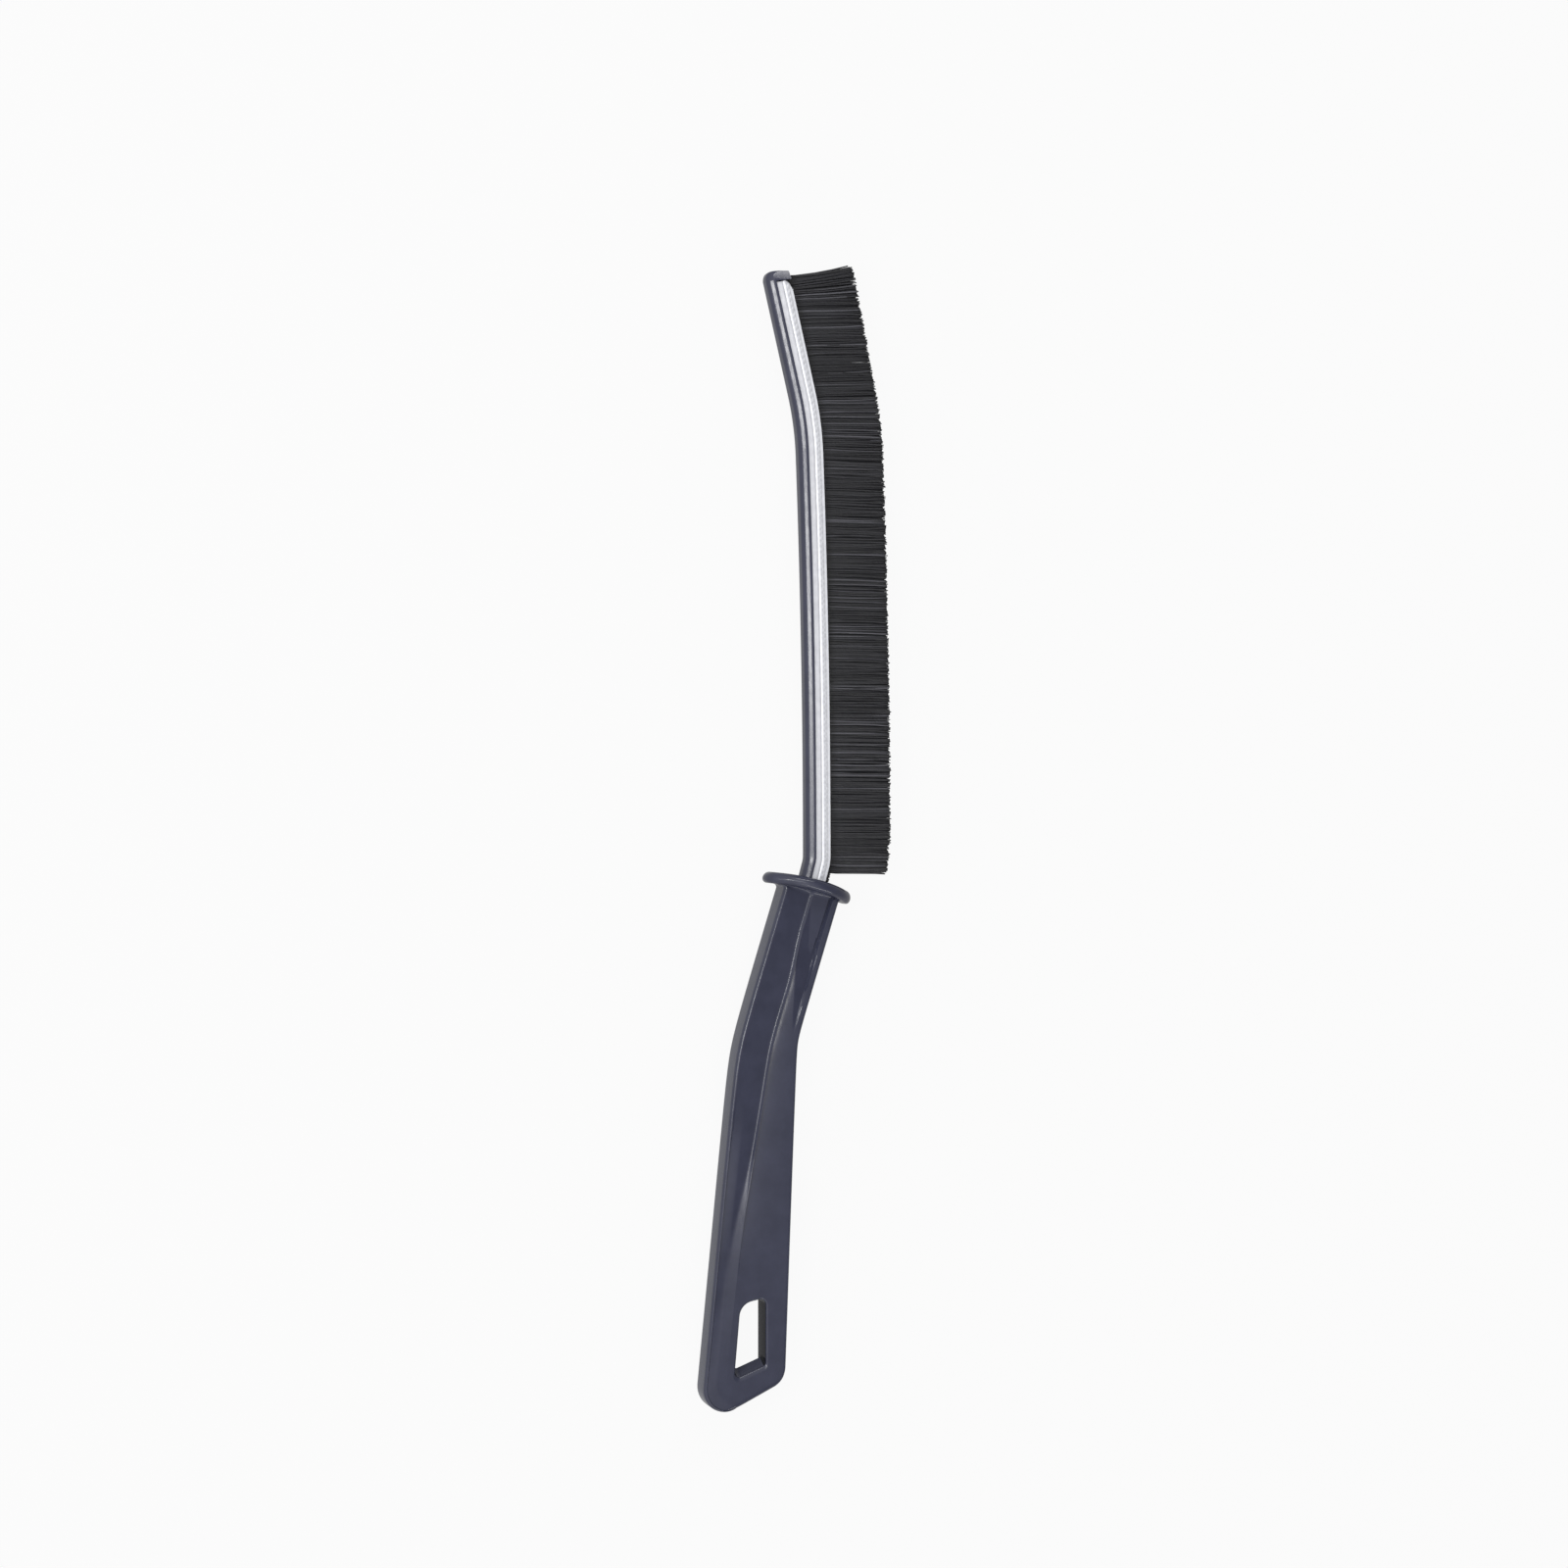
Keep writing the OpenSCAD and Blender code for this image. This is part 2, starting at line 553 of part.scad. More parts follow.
module metal_strip() seat() color(strip_colour) skinned(
    swept(moved_aside(strip_line, sheet_t / 2), strip_top, strip_low),
    swept(moved_aside(strip_line, -sheet_t / 2), strip_top, strip_low));

wire_sides = 16;
module core_wire() seat() color(wire_colour) {
    half = [for (i = [0:wire_sides / 2 - 1]) let (a = 180 - 360 * (i + 0.5) / wire_sides)
        [wire_x + wire_d / 2 * cos(a), wire_d / 2 * sin(a)]];
    walls = swept(half, strip_top, strip_low);
    skinned(walls, mirrored(walls));
}

// Bristles from one column to another, growing from a slice of the root they share.
module bristles(first, after) {
    n = after - first;
    g = rows + 1;
    under = (n + 1) * g;
    strands = under + 2 * (n + 1);
    points = concat(
        [for (c = [0:n]) for (r = [0:rows])
            root_point(fill_from + (first + c) * pitch, root_h, (r - rows / 2) * row_w)],
        [for (c = [0:n]) for (side = [-1, 1])
            root_point(fill_from + (first + c) * pitch, fill_x, side * fill_w / 2)],
        [for (c = [0:n - 1]) for (r = [0:rows - 1])
            each concat(strand_ring(first + c, r, strand_fill, root_h), strand_end(first + c, r))]);
    cells = [for (c = [0:n - 1]) for (r = [0:rows - 1]) let (
        base = strands + (c * rows + r) * 8,
        corner = [c * g + r, c * g + r + 1, (c + 1) * g + r + 1, (c + 1) * g + r])
        each concat(
            [for (k = [0:3]) let (j = (k + 1) % 4)
                each [[corner[k], base + j, base + k], [corner[k], corner[j], base + j],
                    [base + k, base + 4 + j, base + 4 + k], [base + k, base + j, base + 4 + j]]],
            [[base + 4, base + 6, base + 7], [base + 4, base + 5, base + 6]])];
    sides = [for (c = [0:n - 1]) let (
        a = c * g, b = a + g, d = under + 2 * c,
        e = a + rows, f = e + g)
        each [[a, b, d], [b, d + 2, d], [e, d + 1, f], [f, d + 1, d + 3],
            [d, d + 2, d + 1], [d + 1, d + 2, d + 3]]];
    ends = [for (r = [0:rows - 1]) each [[under, r + 1, r],
        [under + 2 * n, n * g + r, n * g + r + 1]]];
    closes = [[under, under + 1, rows], [under + 2 * n, n * g + rows, under + 2 * n + 1]];
    polyhedron(points, concat(cells, sides, ends, closes), convexity = 10);
}

module bristles_heel() seat() color(bristle_colour) bristles(0, heel_to);
module bristles_middle() seat() color(bristle_colour) bristles(heel_to, middle_to);
module bristles_tip() seat() color(bristle_colour) bristles(middle_to, cols);

handle();
metal_strip();
core_wire();
bristles_heel();
bristles_middle();
bristles_tip();
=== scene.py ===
# %% [markdown]
# # A crevice brush
# The object is a slim brush for window tracks and joints. One glossy moulding is the grip,
# the guard and the spine. A folded metal strip lies in the spine and grips black filaments.
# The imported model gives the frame, in metres: +Y runs to the tip, +X to the filament ends
# and +Z through the thickness. Every piece made here stands where the model's own part is.
# The lesson takes them in the order of the bench: the moulding, the strip, the filaments, and
# then the finishes, the light and the camera.

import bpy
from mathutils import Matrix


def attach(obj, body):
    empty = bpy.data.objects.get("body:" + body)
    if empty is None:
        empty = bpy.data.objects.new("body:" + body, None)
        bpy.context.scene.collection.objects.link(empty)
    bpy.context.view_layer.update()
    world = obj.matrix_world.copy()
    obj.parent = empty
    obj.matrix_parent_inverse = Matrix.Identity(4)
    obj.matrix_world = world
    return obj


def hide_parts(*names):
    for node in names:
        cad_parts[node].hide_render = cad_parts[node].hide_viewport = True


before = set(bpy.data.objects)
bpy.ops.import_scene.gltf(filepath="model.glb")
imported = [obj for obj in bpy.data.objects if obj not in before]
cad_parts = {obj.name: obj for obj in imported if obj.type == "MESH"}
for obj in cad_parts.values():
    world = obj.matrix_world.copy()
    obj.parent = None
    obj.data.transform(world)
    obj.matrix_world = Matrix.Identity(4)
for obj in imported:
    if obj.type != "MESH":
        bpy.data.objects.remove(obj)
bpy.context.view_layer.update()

# %% [markdown]
# Sizes are written in millimetres and multiplied by mm. The brush was drawn about the middle
# of its guard, so that point is the origin of all the shapes below, and guard_middle carries
# them into the frame.

# %% Units and the drawing's origin
import math

import bpy
import numpy as np
from mathutils import Vector

mm = 0.001
guard_middle = np.array([2.49, -10.625, 6.8]) * mm
print("the drawing's origin in mm:", np.round(guard_middle / mm, 2))

# %% [markdown]
# Moulded plastic has no sudden steps, so a few small curves do most of the shaping. smooth
# eases from 0 to 1, mix blends two values, and bump is a round hump about zero.

# %% Angles in degrees and three curves
def sin(a):
    return math.sin(math.radians(a))


def cos(a):
    return math.cos(math.radians(a))


def tan(a):
    return math.tan(math.radians(a))


def smooth(x):
    t = np.clip(x, 0, 1)
    return t * t * (3 - 2 * t)


def mix(a, b, t):
    return a + (b - a) * t


def bump(x, width):
    return np.exp(-((x / width) ** 2))


# %% [markdown]
# ## Sheets of quads
# Most of the brush is long and thin, with one section that changes along it. Such a form is
# quickest from a grid: its columns run round the section and its rows along the piece. It
# could be extruded row by row by hand as well, but a grid has all its faces from the start
# and only needs each crossing put in its place.

# An operator acts on all that is selected, so every helper selects its piece alone first.

# %% Selecting, editing and modifiers
def deselect():
    bpy.ops.object.select_all(action="DESELECT")


def take(piece):
    deselect()
    piece.select_set(True)
    bpy.context.view_layer.objects.active = piece


def edit(piece):
    take(piece)
    bpy.ops.object.mode_set(mode="EDIT")
    bpy.ops.mesh.select_all(action="SELECT")


def leave():
    bpy.ops.object.mode_set(mode="OBJECT")


def apply_modifier(piece, kind, **settings):
    take(piece)
    modifier = piece.modifiers.new(kind.title(), kind)
    for name, value in settings.items():
        setattr(modifier, name, value)
    bpy.ops.object.modifier_apply(modifier=modifier.name)


# %% [markdown]
# A new grid is flat and one unit wide. Its crossings are found by their place and moved, then
# the seams are merged and the faces turned outwards. The brush is the same on both sides, so
# most pieces are modelled as a half and mirrored.

# %% Grids, seams and the far half
def set_points(piece, points):
    piece.data.vertices.foreach_set("co", np.asarray(points, np.float32).ravel())
    piece.data.update()


def get_points(piece):
    points = np.zeros(len(piece.data.vertices) * 3, np.float32)
    piece.data.vertices.foreach_get("co", points)
    return points.reshape(-1, 3).astype(float)


def add_sheet(name, rows):
    """A grid whose crossings lie at rows[k][j], in millimetres about the guard's middle."""
    rows = np.asarray(rows, float)
    count_v, count_u = rows.shape[:2]
    deselect()
    bpy.ops.mesh.primitive_grid_add(
        x_subdivisions=count_u - 1, y_subdivisions=count_v - 1, size=1)
    piece = bpy.context.object
    piece.name = name
    flat = get_points(piece)
    j = np.rint((flat[:, 0] + 0.5) * (count_u - 1)).astype(int)
    k = np.rint((flat[:, 1] + 0.5) * (count_v - 1)).astype(int)
    set_points(piece, rows[k, j] * mm + guard_middle)
    return piece


def close_seams(piece, distance=0.002):
    edit(piece)
    bpy.ops.mesh.remove_doubles(threshold=distance * mm)
    bpy.ops.mesh.normals_make_consistent(inside=False)
    leave()


def mirror_across_middle(piece):
    deselect()
    bpy.ops.object.empty_add(location=guard_middle)
    plane = bpy.context.object
    apply_modifier(piece, "MIRROR", use_axis=(False, False, True), mirror_object=plane,
        use_clip=True, merge_threshold=0.01 * mm)
    bpy.data.objects.remove(plane)
    close_seams(piece)


# %% Shading and a line of facts
def smooth_shading(piece, angle=30):
    take(piece)
    bpy.ops.object.shade_smooth_by_angle(angle=math.radians(angle))


def tell(piece):
    faces = len(piece.data.polygons)
    size = [round(1000 * v, 1) for v in piece.dimensions]
    print(f"{piece.name}: {faces} faces, size {size} mm")


# %% [markdown]
# ## The grip's outline
# Seen from its side the grip leans one way below the guard, then bends and runs down almost
# straight to a butt with a slanted end and two round corners. Each edge is two straight runs
# with a soft bend between them. A traced curve could follow it too, but a hyperbola needs
# only the two slopes, the corner and the softness, and each of them can be measured.

# %% Sizes of the grip and guard, in millimetres and degrees
guard_w, guard_d, guard_t, guard_arch, guard_lean = 19.4, 13.6, 2.4, 1.0, 15
neck_r = 1.1
grip_w, grip_t, grip_shift, grip_lean, grip_len = 12.4, 6.6, 0.6, 17.4, 102.9
back_bend, front_bend, back_soft, front_soft = 33.9, 32.5, 5.0, 2.0
back_lean, front_lean = 5.6, 2.1
edge_r, edge_high, end_r = 0.6, 1.1, 1.0
butt_t, flat_from, butt_slant, butt_back_r, butt_front_r = 6.0, 80.0, 25.5, 4.75, 5.0

up = np.array([sin(guard_lean), cos(guard_lean)])
across = np.array([cos(guard_lean), -sin(guard_lean)])
half_span = grip_w / 2 / cos(grip_lean)
back_root = grip_shift - half_span
front_root = grip_shift + half_span
print("edges leave the guard at", round(back_root, 2), "and", round(front_root, 2), "mm")


# %% The two long edges: u across the brush, v along it
def soft_bend(v, u0, v0, above, below, soft):
    return u0 + (above + below) / 2 * (v - v0) + (above - below) / 2 * math.hypot(v - v0, soft)


def back_u(v):
    start = back_root - tan(grip_lean) * back_bend
    return soft_bend(v, start, -back_bend, tan(grip_lean), tan(back_lean), back_soft)


def front_u(v):
    start = front_root - tan(grip_lean) * front_bend
    return soft_bend(v, start, -front_bend, tan(grip_lean), tan(front_lean), front_soft)


# %% [markdown]
# The butt is cut off at a slant, so the two edges end at different depths. A little
# trigonometry finds both corners, and how fast each edge runs on for every millimetre square
# to the slanted end.

# %% The butt's slanted end
front_corner_u = front_u(-grip_len)
slant_reach = tan(butt_slant) * (back_u(-grip_len) - front_corner_u)
back_corner_v = -grip_len + slant_reach / (1 - tan(butt_slant) * tan(back_lean))
back_rate = 1 / (cos(butt_slant) * (1 - tan(butt_slant) * tan(back_lean)))
front_rate = 1 / (cos(butt_slant) * (1 - tan(butt_slant) * tan(front_lean)))
print("grip outline ends at", round(back_corner_v, 2), "and", -grip_len, "mm")

# %% [markdown]
# ## The relief of the grip's face
# On the real grip a crest runs down each face. It gives the fingers a hold and leaves the
# thumb a hollow on the front side. It could be sculpted, but then no size could be changed.
# Here the relief is height added to a flat face, a function of the distance q from the back
# edge, the face's width w and the depth g below the guard.

# %% The crest and its ridge
ridge_in, ridge_in_end, ridge_swing, drift_end = 7.4, 5.5, 1.0, 76
ridge_h, ridge_w, ridge_from, ridge_end = 0.2, 0.35, 8, 76
ridge_limit, fade_run = 0.62, 14
on_crest = 0.001


def fades(g, start, end):
    return smooth((g - start) / fade_run) * (1 - smooth((g - end) / fade_run + 1))


def drift(g):
    return smooth((g - front_bend) / (drift_end - front_bend))


def ridge_q(g, w):
    swing = ridge_swing * (1 - smooth((g - ridge_from) / fade_run))
    return min(mix(ridge_in, ridge_in_end, drift(g)) - swing, ridge_limit * w)


def ridge(q, crest, g):
    height = ridge_h * fades(g, ridge_from, ridge_end)
    return height * bump(q - crest, ridge_w) * (q < crest + on_crest)


print("the crest lies", ridge_q(0, grip_w), "and", ridge_q(drift_end, grip_w), "mm in")

# %% [markdown]
# Behind the crest the face falls evenly from the back edge to a flute's bed and rises steeply
# to the ridge. Lower down the flute widens and dies away, and the face rolls over at the back
# edge instead. Two straight slopes joined by a hyperbola give the bed a small, even radius.

# %% The flute and the rolled back edge
flute_depth, flute_gap, flute_gap_end, flute_soft = 0.5, 0.5, 3.2, 0.25
flute_from, flute_run, flute_share = 64, 42, 0.7
gap_from, gap_run = 52, 34
roll_depth, roll_w, roll_power, roll_from, roll_run = 0.65, 3.0, 1.3, 40, 20
roll_less, roll_less_from, roll_less_run = 0.6, 66, 14


def flute(q, crest, g):
    gap = mix(flute_gap, flute_gap_end, smooth((g - gap_from) / gap_run))
    gap = min(gap, flute_share * (crest - edge_r))
    x = q - crest + gap
    fall, rise = 1 / (crest - gap - edge_r), 1 / gap
    valley = ((rise - fall) * x + (rise + fall) * np.hypot(x, flute_soft * gap)) / 2
    depth = flute_depth * (1 - smooth((g - flute_from) / flute_run))
    return depth * np.clip(1 - valley, 0, None)


def roll(q, g):
    less = roll_less * smooth((g - roll_less_from) / roll_less_run)
    x = np.clip(1 - q / roll_w, 0, 1)
    return roll_depth * smooth((g - roll_from) / roll_run) * (1 - less) * x**roll_power


print("the flute is", flute_depth, "mm deep, the roll", roll_depth, "mm")

# %% [markdown]
# In front of the crest the face drops at once to a hollowed thumb pad. Just below the guard a
# wedge of a pocket is sunk along the front edge, which saves plastic. Its floor slopes evenly
# to a short steep wall, and a level tongue runs down its middle. Both could be cut out with a
# Boolean, but they run out to nothing, and such thin edges cut badly.

# %% The thumb pad and the pocket
pad_drop, pad_round, pad_crisp = 0.45, 0.7, 0.3
pocket_slope, pocket_rim, pocket_wall = 0.16, 1.5, 0.4
pocket_q, pocket_drift, pocket_run, crease_gap = 3.2, 0.25, 1.5, 0.1
tongue_end, tongue_q, tongue_end_q, tongue_side, tongue_round = 14, 5.3, 9.1, 10.0, 1.5


def pad(q, crest, w, g):
    x = 1 - np.clip((q - crest) / (w - edge_r - crest), 0, 1)
    hollow = pad_round * x**2 + pad_crisp * x**6
    return pad_drop * fades(g, ridge_from, flat_from) * np.where(q > crest + on_crest, hollow, 0)


def pocket(q, crest, w, g):
    crease = max(pocket_q + pocket_drift * g, crest + crease_gap)
    wall = w - pocket_rim
    left = mix(tongue_q, tongue_end_q, g / tongue_end)
    left = left + max(0, g - tongue_end + tongue_round) ** 2 / 2
    lain = np.where((q > left) & (q < tongue_side), left, q)
    depth = pocket_slope * (lain - crease) + float(pad(np.array(crease), crest, w, g))
    rise = 1 - np.clip((q - wall + pocket_wall) / pocket_wall, 0, 1)
    return np.where(q > crease, depth * rise, 0) * smooth((wall - crease) / pocket_run)


def relief(q, w, g):
    crest = ridge_q(g, w)
    sunk = np.maximum(pad(q, crest, w, g), pocket(q, crest, w, g))
    return ridge(q, crest, g) - flute(q, crest, g) - roll(q, g) - sunk


print("the pad is", pad_drop, "mm deep")

# %% [markdown]
# ## The loft
# The real grip, guard and spine fill one mould. The grip could be a box, cut and bevelled,
# but its edges, width and thickness all change along it, so a loft of half sections fits
# better. Half a section is a quarter round, the face with its relief, and another quarter
# round. The face's points crowd about the crest, where the form is sharpest.

# %% Half a section
edge_steps, face_steps = 8, (20, 24, 28)
before_crest, past_crest = 1.2, 0.6


def half_section(w, h, g):
    r, high = min(edge_r, 0.9 * h), min(edge_high, 0.9 * h)
    turn = np.radians(np.linspace(0, 90, edge_steps + 1))
    crest, k = ridge_q(g, w), min(1, w / grip_w)
    stops = [r, crest - before_crest * k, crest + past_crest * k, w - r]
    q = np.concatenate([np.linspace(stops[i], stops[i + 1], face_steps[i] + 1)[1:]
        for i in range(3)])[:-1]
    z = h - high + high * np.sin(turn)
    back = np.stack([r - r * np.cos(turn), z], 1)
    front = np.stack([w - r + r * np.cos(turn), z], 1)[::-1]
    return np.concatenate([back, np.stack([q, h + relief(q, w, g)], 1), front])


def placed(ends, h, g):
    ends = np.asarray(ends, float)
    w = float(np.linalg.norm(ends[1] - ends[0]))
    direction = (ends[1] - ends[0]) / w
    section = half_section(w, h, g)
    flat = ends[0] + section[:, :1] * direction
    return np.concatenate([flat, section[:, 1:]], 1)


print("half a section has", len(half_section(grip_w, grip_t / 2, 0)), "points")

# %% [markdown]
# Each section reaches from a point on the back edge to one on the front edge. The first one
# lies square to the guard and the last ones run with the butt's slant. There the ends draw in
# round the two corners, and the thickness falls in a quarter round to the end face.

# %% Where each section lies
butt_zone, taper_from = 12, 10
neck_w = -guard_t / 2 - neck_r


def depth_of(ends):
    return -(ends[0][1] + ends[1][1]) / 2


def ends_at(back_v, front_v):
    return [[back_u(back_v), back_v], [front_u(front_v), front_v]]


def meets_neck(root):
    return (neck_w - root * sin(guard_lean)) / (
        cos(guard_lean) + tan(grip_lean) * sin(guard_lean))


def grip_ends(t):
    back_v = mix(meets_neck(back_root), back_corner_v + back_rate * butt_zone, t)
    front_v = mix(meets_neck(front_root), -grip_len + front_rate * butt_zone, t)
    return ends_at(back_v, front_v)


def corner_in(d, r, a):
    if d >= r * (1 + cos(a)):
        return 0
    return r / tan(a / 2) - math.sqrt(max(0, r * r - (r - d) ** 2)) - d / tan(a)


def butt_ends(d):
    ends = np.array(ends_at(back_corner_v + back_rate * d, -grip_len + front_rate * d))
    direction = (ends[1] - ends[0]) / np.linalg.norm(ends[1] - ends[0])
    back = ends[0] + direction * corner_in(d, butt_back_r, 90 - back_lean - butt_slant)
    front = ends[1] - direction * corner_in(d, butt_front_r, 90 + front_lean + butt_slant)
    return [back, front]


def half_t(g):
    return mix(grip_t, butt_t, smooth((g - taper_from) / (flat_from - taper_from))) / 2


def end_half_t(d):
    return butt_t / 2 - end_r + math.sqrt(end_r**2 - max(0, end_r - d) ** 2)


neck_half = placed(grip_ends(0), grip_t / 2, 0)
print("the grip is", round(2 * half_t(flat_from), 2), "mm thick at the butt")

# %% [markdown]
# The guard stops the hand from sliding to the bristles. It is an oval plate with a round rim,
# arched across, and it leans with the grip. An oval could be joined on, but then the fillet
# under it would need a bevel. Instead its sections blend from the neck's section to an oval,
# so that the fillet, the plate and the grip are one sheet.

# %% The guard's sections
guard_gap = min(guard_w - grip_w, guard_d - grip_t) / 2
most_share = 0.48
rim_share = min(most_share, guard_t / 2 / guard_gap)
fillet_share = min(most_share, neck_r / guard_gap)


def guard_half(share, w, arch):
    count = len(neck_half)
    a = np.radians(180 * (1 - (np.arange(count) + 0.5) / count))
    inner = np.stack([neck_half[:, :2] @ across, neck_half[:, 2]], 1)
    oval = np.stack([guard_w / 2 * np.cos(a), guard_d / 2 * np.sin(a)], 1)
    p = mix(inner, oval, share)
    lift = w - arch * guard_arch * (p[:, 0] / (guard_w / 2)) ** 2
    return np.concatenate([p[:, :1] * across + lift[:, None] * up, p[:, 1:]], 1)


print("the guard's rim takes", round(rim_share, 2), "of the way in to the grip")

# %% [markdown]
# Now the rows are stacked: over the guard's rim, round its fillet, down the grip and round
# the butt's end. Two flat rows close each end, and a mirror adds the far half.

# %% The grip and guard
grip_steps, butt_steps, rim_step, fillet_step = 190, 26, 7.5, 10
end_share = 0.8


def grip_rows():
    rows = []
    for a in np.arange(90, -90.1, -rim_step):
        rows.append(guard_half(1 - rim_share * (1 - cos(a)), guard_t / 2 * sin(a), 1))
    for a in np.arange(90, 1, -fillet_step):
        rows.append(guard_half(fillet_share * (1 - cos(a)),
            -guard_t / 2 - neck_r * (1 - sin(a)), sin(a)))
    for i in range(grip_steps):
        ends = grip_ends(i / grip_steps)
        g = depth_of(ends)
        rows.append(placed(ends, half_t(g), g))
    for i in range(butt_steps + 1):
        d = butt_zone * (1 - sin(90 * i / butt_steps))
        ends = butt_ends(d)
        rows.append(placed(ends, end_half_t(d), depth_of(ends)))
    flat = np.array([1, 1, 0.0])
    almost = np.array([1, 1, end_share])
    rows = [np.concatenate([row[:1] * flat, row, row[-1:] * flat]) for row in rows]
    return [rows[0] * flat, rows[0] * almost] + rows + [rows[-1] * almost, rows[-1] * flat]


grip = add_sheet("grip", grip_rows())
mirror_across_middle(grip)
tell(grip)

# %% [markdown]
# ## The hanging hole
# The brush hangs from a slanted hole in the butt. Its sides run with the grip's edges and its
# floor with the butt's end, and the floor is drafted both ways, so that the core pulls out of
# the mould. The hole could be inset and bridged, but the loft's faces don't follow it. A
# Boolean cut does, and a cutter that flares at both faces leaves round lips.

# %% The hole's outline
hole_w, hole_h, hole_wall, hole_floor, hole_slant = 5.4, 13.5, 5.0, 4.0, 21
hole_big_r, hole_front_r, hole_low_r, hole_lip, hole_low_lip = 3.2, 1.2, 0.9, 0.5, 1.3
hole_draft, hole_rise = 1.3, 0.9


def rounded(points, radii, grown, steps=12):
    outline = []
    count = len(points)
    for i, r in enumerate(radii):
        p = np.array(points[i])
        a = np.array(points[i - 1]) - p
        b = np.array(points[(i + 1) % count]) - p
        a, b = a / np.linalg.norm(a), b / np.linalg.norm(b)
        half = math.acos(a @ b) / 2
        centre = p + (a + b) / np.linalg.norm(a + b) * r / math.sin(half)
        start = p + a * r / math.tan(half) - centre
        end = p + b * r / math.tan(half) - centre
        a0 = math.atan2(start[1], start[0])
        sweep = (math.atan2(end[1], end[0]) - a0 + 3 * math.pi) % (2 * math.pi) - math.pi
        for k in range(steps + 1):
            angle = a0 + sweep * k / steps
            outline.append(centre + (r + grown) * np.array([math.cos(angle), math.sin(angle)]))
    return np.array(outline)


def hole_outline(grown, drop):
    high = -grip_len + hole_floor + hole_h
    low = high - hole_h + hole_rise - drop - grown * (hole_low_lip / hole_lip - 1)
    front = front_u(high) - hole_wall
    back = front - hole_w
    back_low = back - tan(back_lean) * (high - low)
    corners = [[front, low], [front, high], [back, high - hole_w * tan(hole_slant) / 2],
        [back_low, low - (front - back_low) * tan(hole_slant)]]
    return rounded(corners, [hole_low_r, hole_front_r, hole_big_r, hole_low_r], grown)


print("the hole's outline has", len(hole_outline(0, 0)), "points")

# %% [markdown]
# The cutter is a stack of outlines through the butt. The lip's arc starts a little below the
# face, because an outline that lies in the face's own plane makes a Boolean fail.

# %% Cutting the hole
lip_steps, lip_from = 8, 14


def hole_rows():
    levels = [[hole_lip, hole_draft, butt_t / 2 + hole_lip]]
    for i in range(lip_steps + 1):
        a = mix(lip_from, 90, i / lip_steps)
        levels.append([hole_lip * (1 - sin(a)), hole_draft, butt_t / 2 - hole_lip * (1 - cos(a))])
    levels = levels + [[0, 0, 0]] + [[grown, drop, -z] for grown, drop, z in reversed(levels)]
    rows = []
    for grown, drop, z in levels:
        outline = hole_outline(grown, drop)
        outline = np.concatenate([outline, outline[:1]])
        rows.append(np.concatenate([outline, np.full((len(outline), 1), z)], 1))
    centre = rows[0].mean(0) * [1, 1, 0]
    top = centre + (rows[0] - centre) * [0, 0, 1]
    bottom = centre + (rows[-1] - centre) * [0, 0, 1]
    return [top] + rows + [bottom]


cutter = add_sheet("hole_cutter", hole_rows())
close_seams(cutter)
apply_modifier(grip, "BOOLEAN", operation="DIFFERENCE", solver="EXACT", object=cutter)
bpy.data.objects.remove(cutter)
smooth_shading(grip, 40)
tell(grip)

# %% [markdown]
# The hole's walls come from an unpolished core, so they are duller than the outside, and
# their colour is painted darker as shade in the hollow. A second material could be given to
# them. A mark on each face is the lighter way, and the plastic's own material reads it.

# %% Marking the hole's walls
wall_spare, back_spare, low_spare, wall_tilt = 0.4, 2.5, 4.5, 0.4


def mark_inside(piece):
    high = -grip_len + hole_floor + hole_h
    front = front_u(high) - hole_wall
    # The mark tells the plastic where to paint shade on the hole's walls.
    layer = piece.data.attributes.new("inside", "FLOAT", "FACE")
    for face in piece.data.polygons:
        at = np.array(face.center) / mm - guard_middle / mm
        beside = front - hole_w - back_spare < at[0] < front + wall_spare
        along = high - hole_h - low_spare < at[1] < high + wall_spare
        if beside and along and abs(face.normal.z) < wall_tilt:
            layer.data[face.index].value = 1
    return sum(mark.value for mark in layer.data)


print("faces in the hole:", round(mark_inside(grip)))

# %% [markdown]
# ## The head's line
# The spine, the strip and the filaments all follow one line, the strip's mouth: a short neck
# that leans with the guard, a bend, a long stretch that bows very slightly, a wide bend and a
# straight tip. Each is made straight, as the real strip is rolled, and then bent to the line.
# A Curve modifier could bend them, but it needs a curve drawn first. A chain of arcs and
# straight runs gives the same line from its measured lengths, radii and angles.

# %% The line along the head
mouth_at, neck_len, neck_bend_r = 3.1, 4.3, 10
reach_len, reach_turn, crank_r, crank_turn, tip_len = 83.7, 2.2, 70, 11, 25.2

rad = math.pi / 180
reach_r = reach_len / (reach_turn * rad)
s_reach = neck_len + neck_bend_r * guard_lean * rad
s_crank = s_reach + reach_len
s_tip = s_crank + crank_r * crank_turn * rad
s_end = s_tip + tip_len


def go(start, run):
    return [start[0] - run * sin(start[2]), start[1] + run * cos(start[2]), start[2]]


def turn(start, r, a):
    return [start[0] + r * (cos(start[2] + a) - cos(start[2])),
        start[1] + r * (sin(start[2] + a) - sin(start[2])), start[2] + a]


guard_frame = [mouth_at * across[0], mouth_at * across[1], -guard_lean]
neck_frame = go(guard_frame, neck_len)
reach_frame = turn(neck_frame, neck_bend_r, guard_lean)
crank_frame = turn(reach_frame, reach_r, reach_turn)
tip_frame = turn(crank_frame, crank_r, crank_turn)
print("head line is", round(s_end, 1), "mm long")


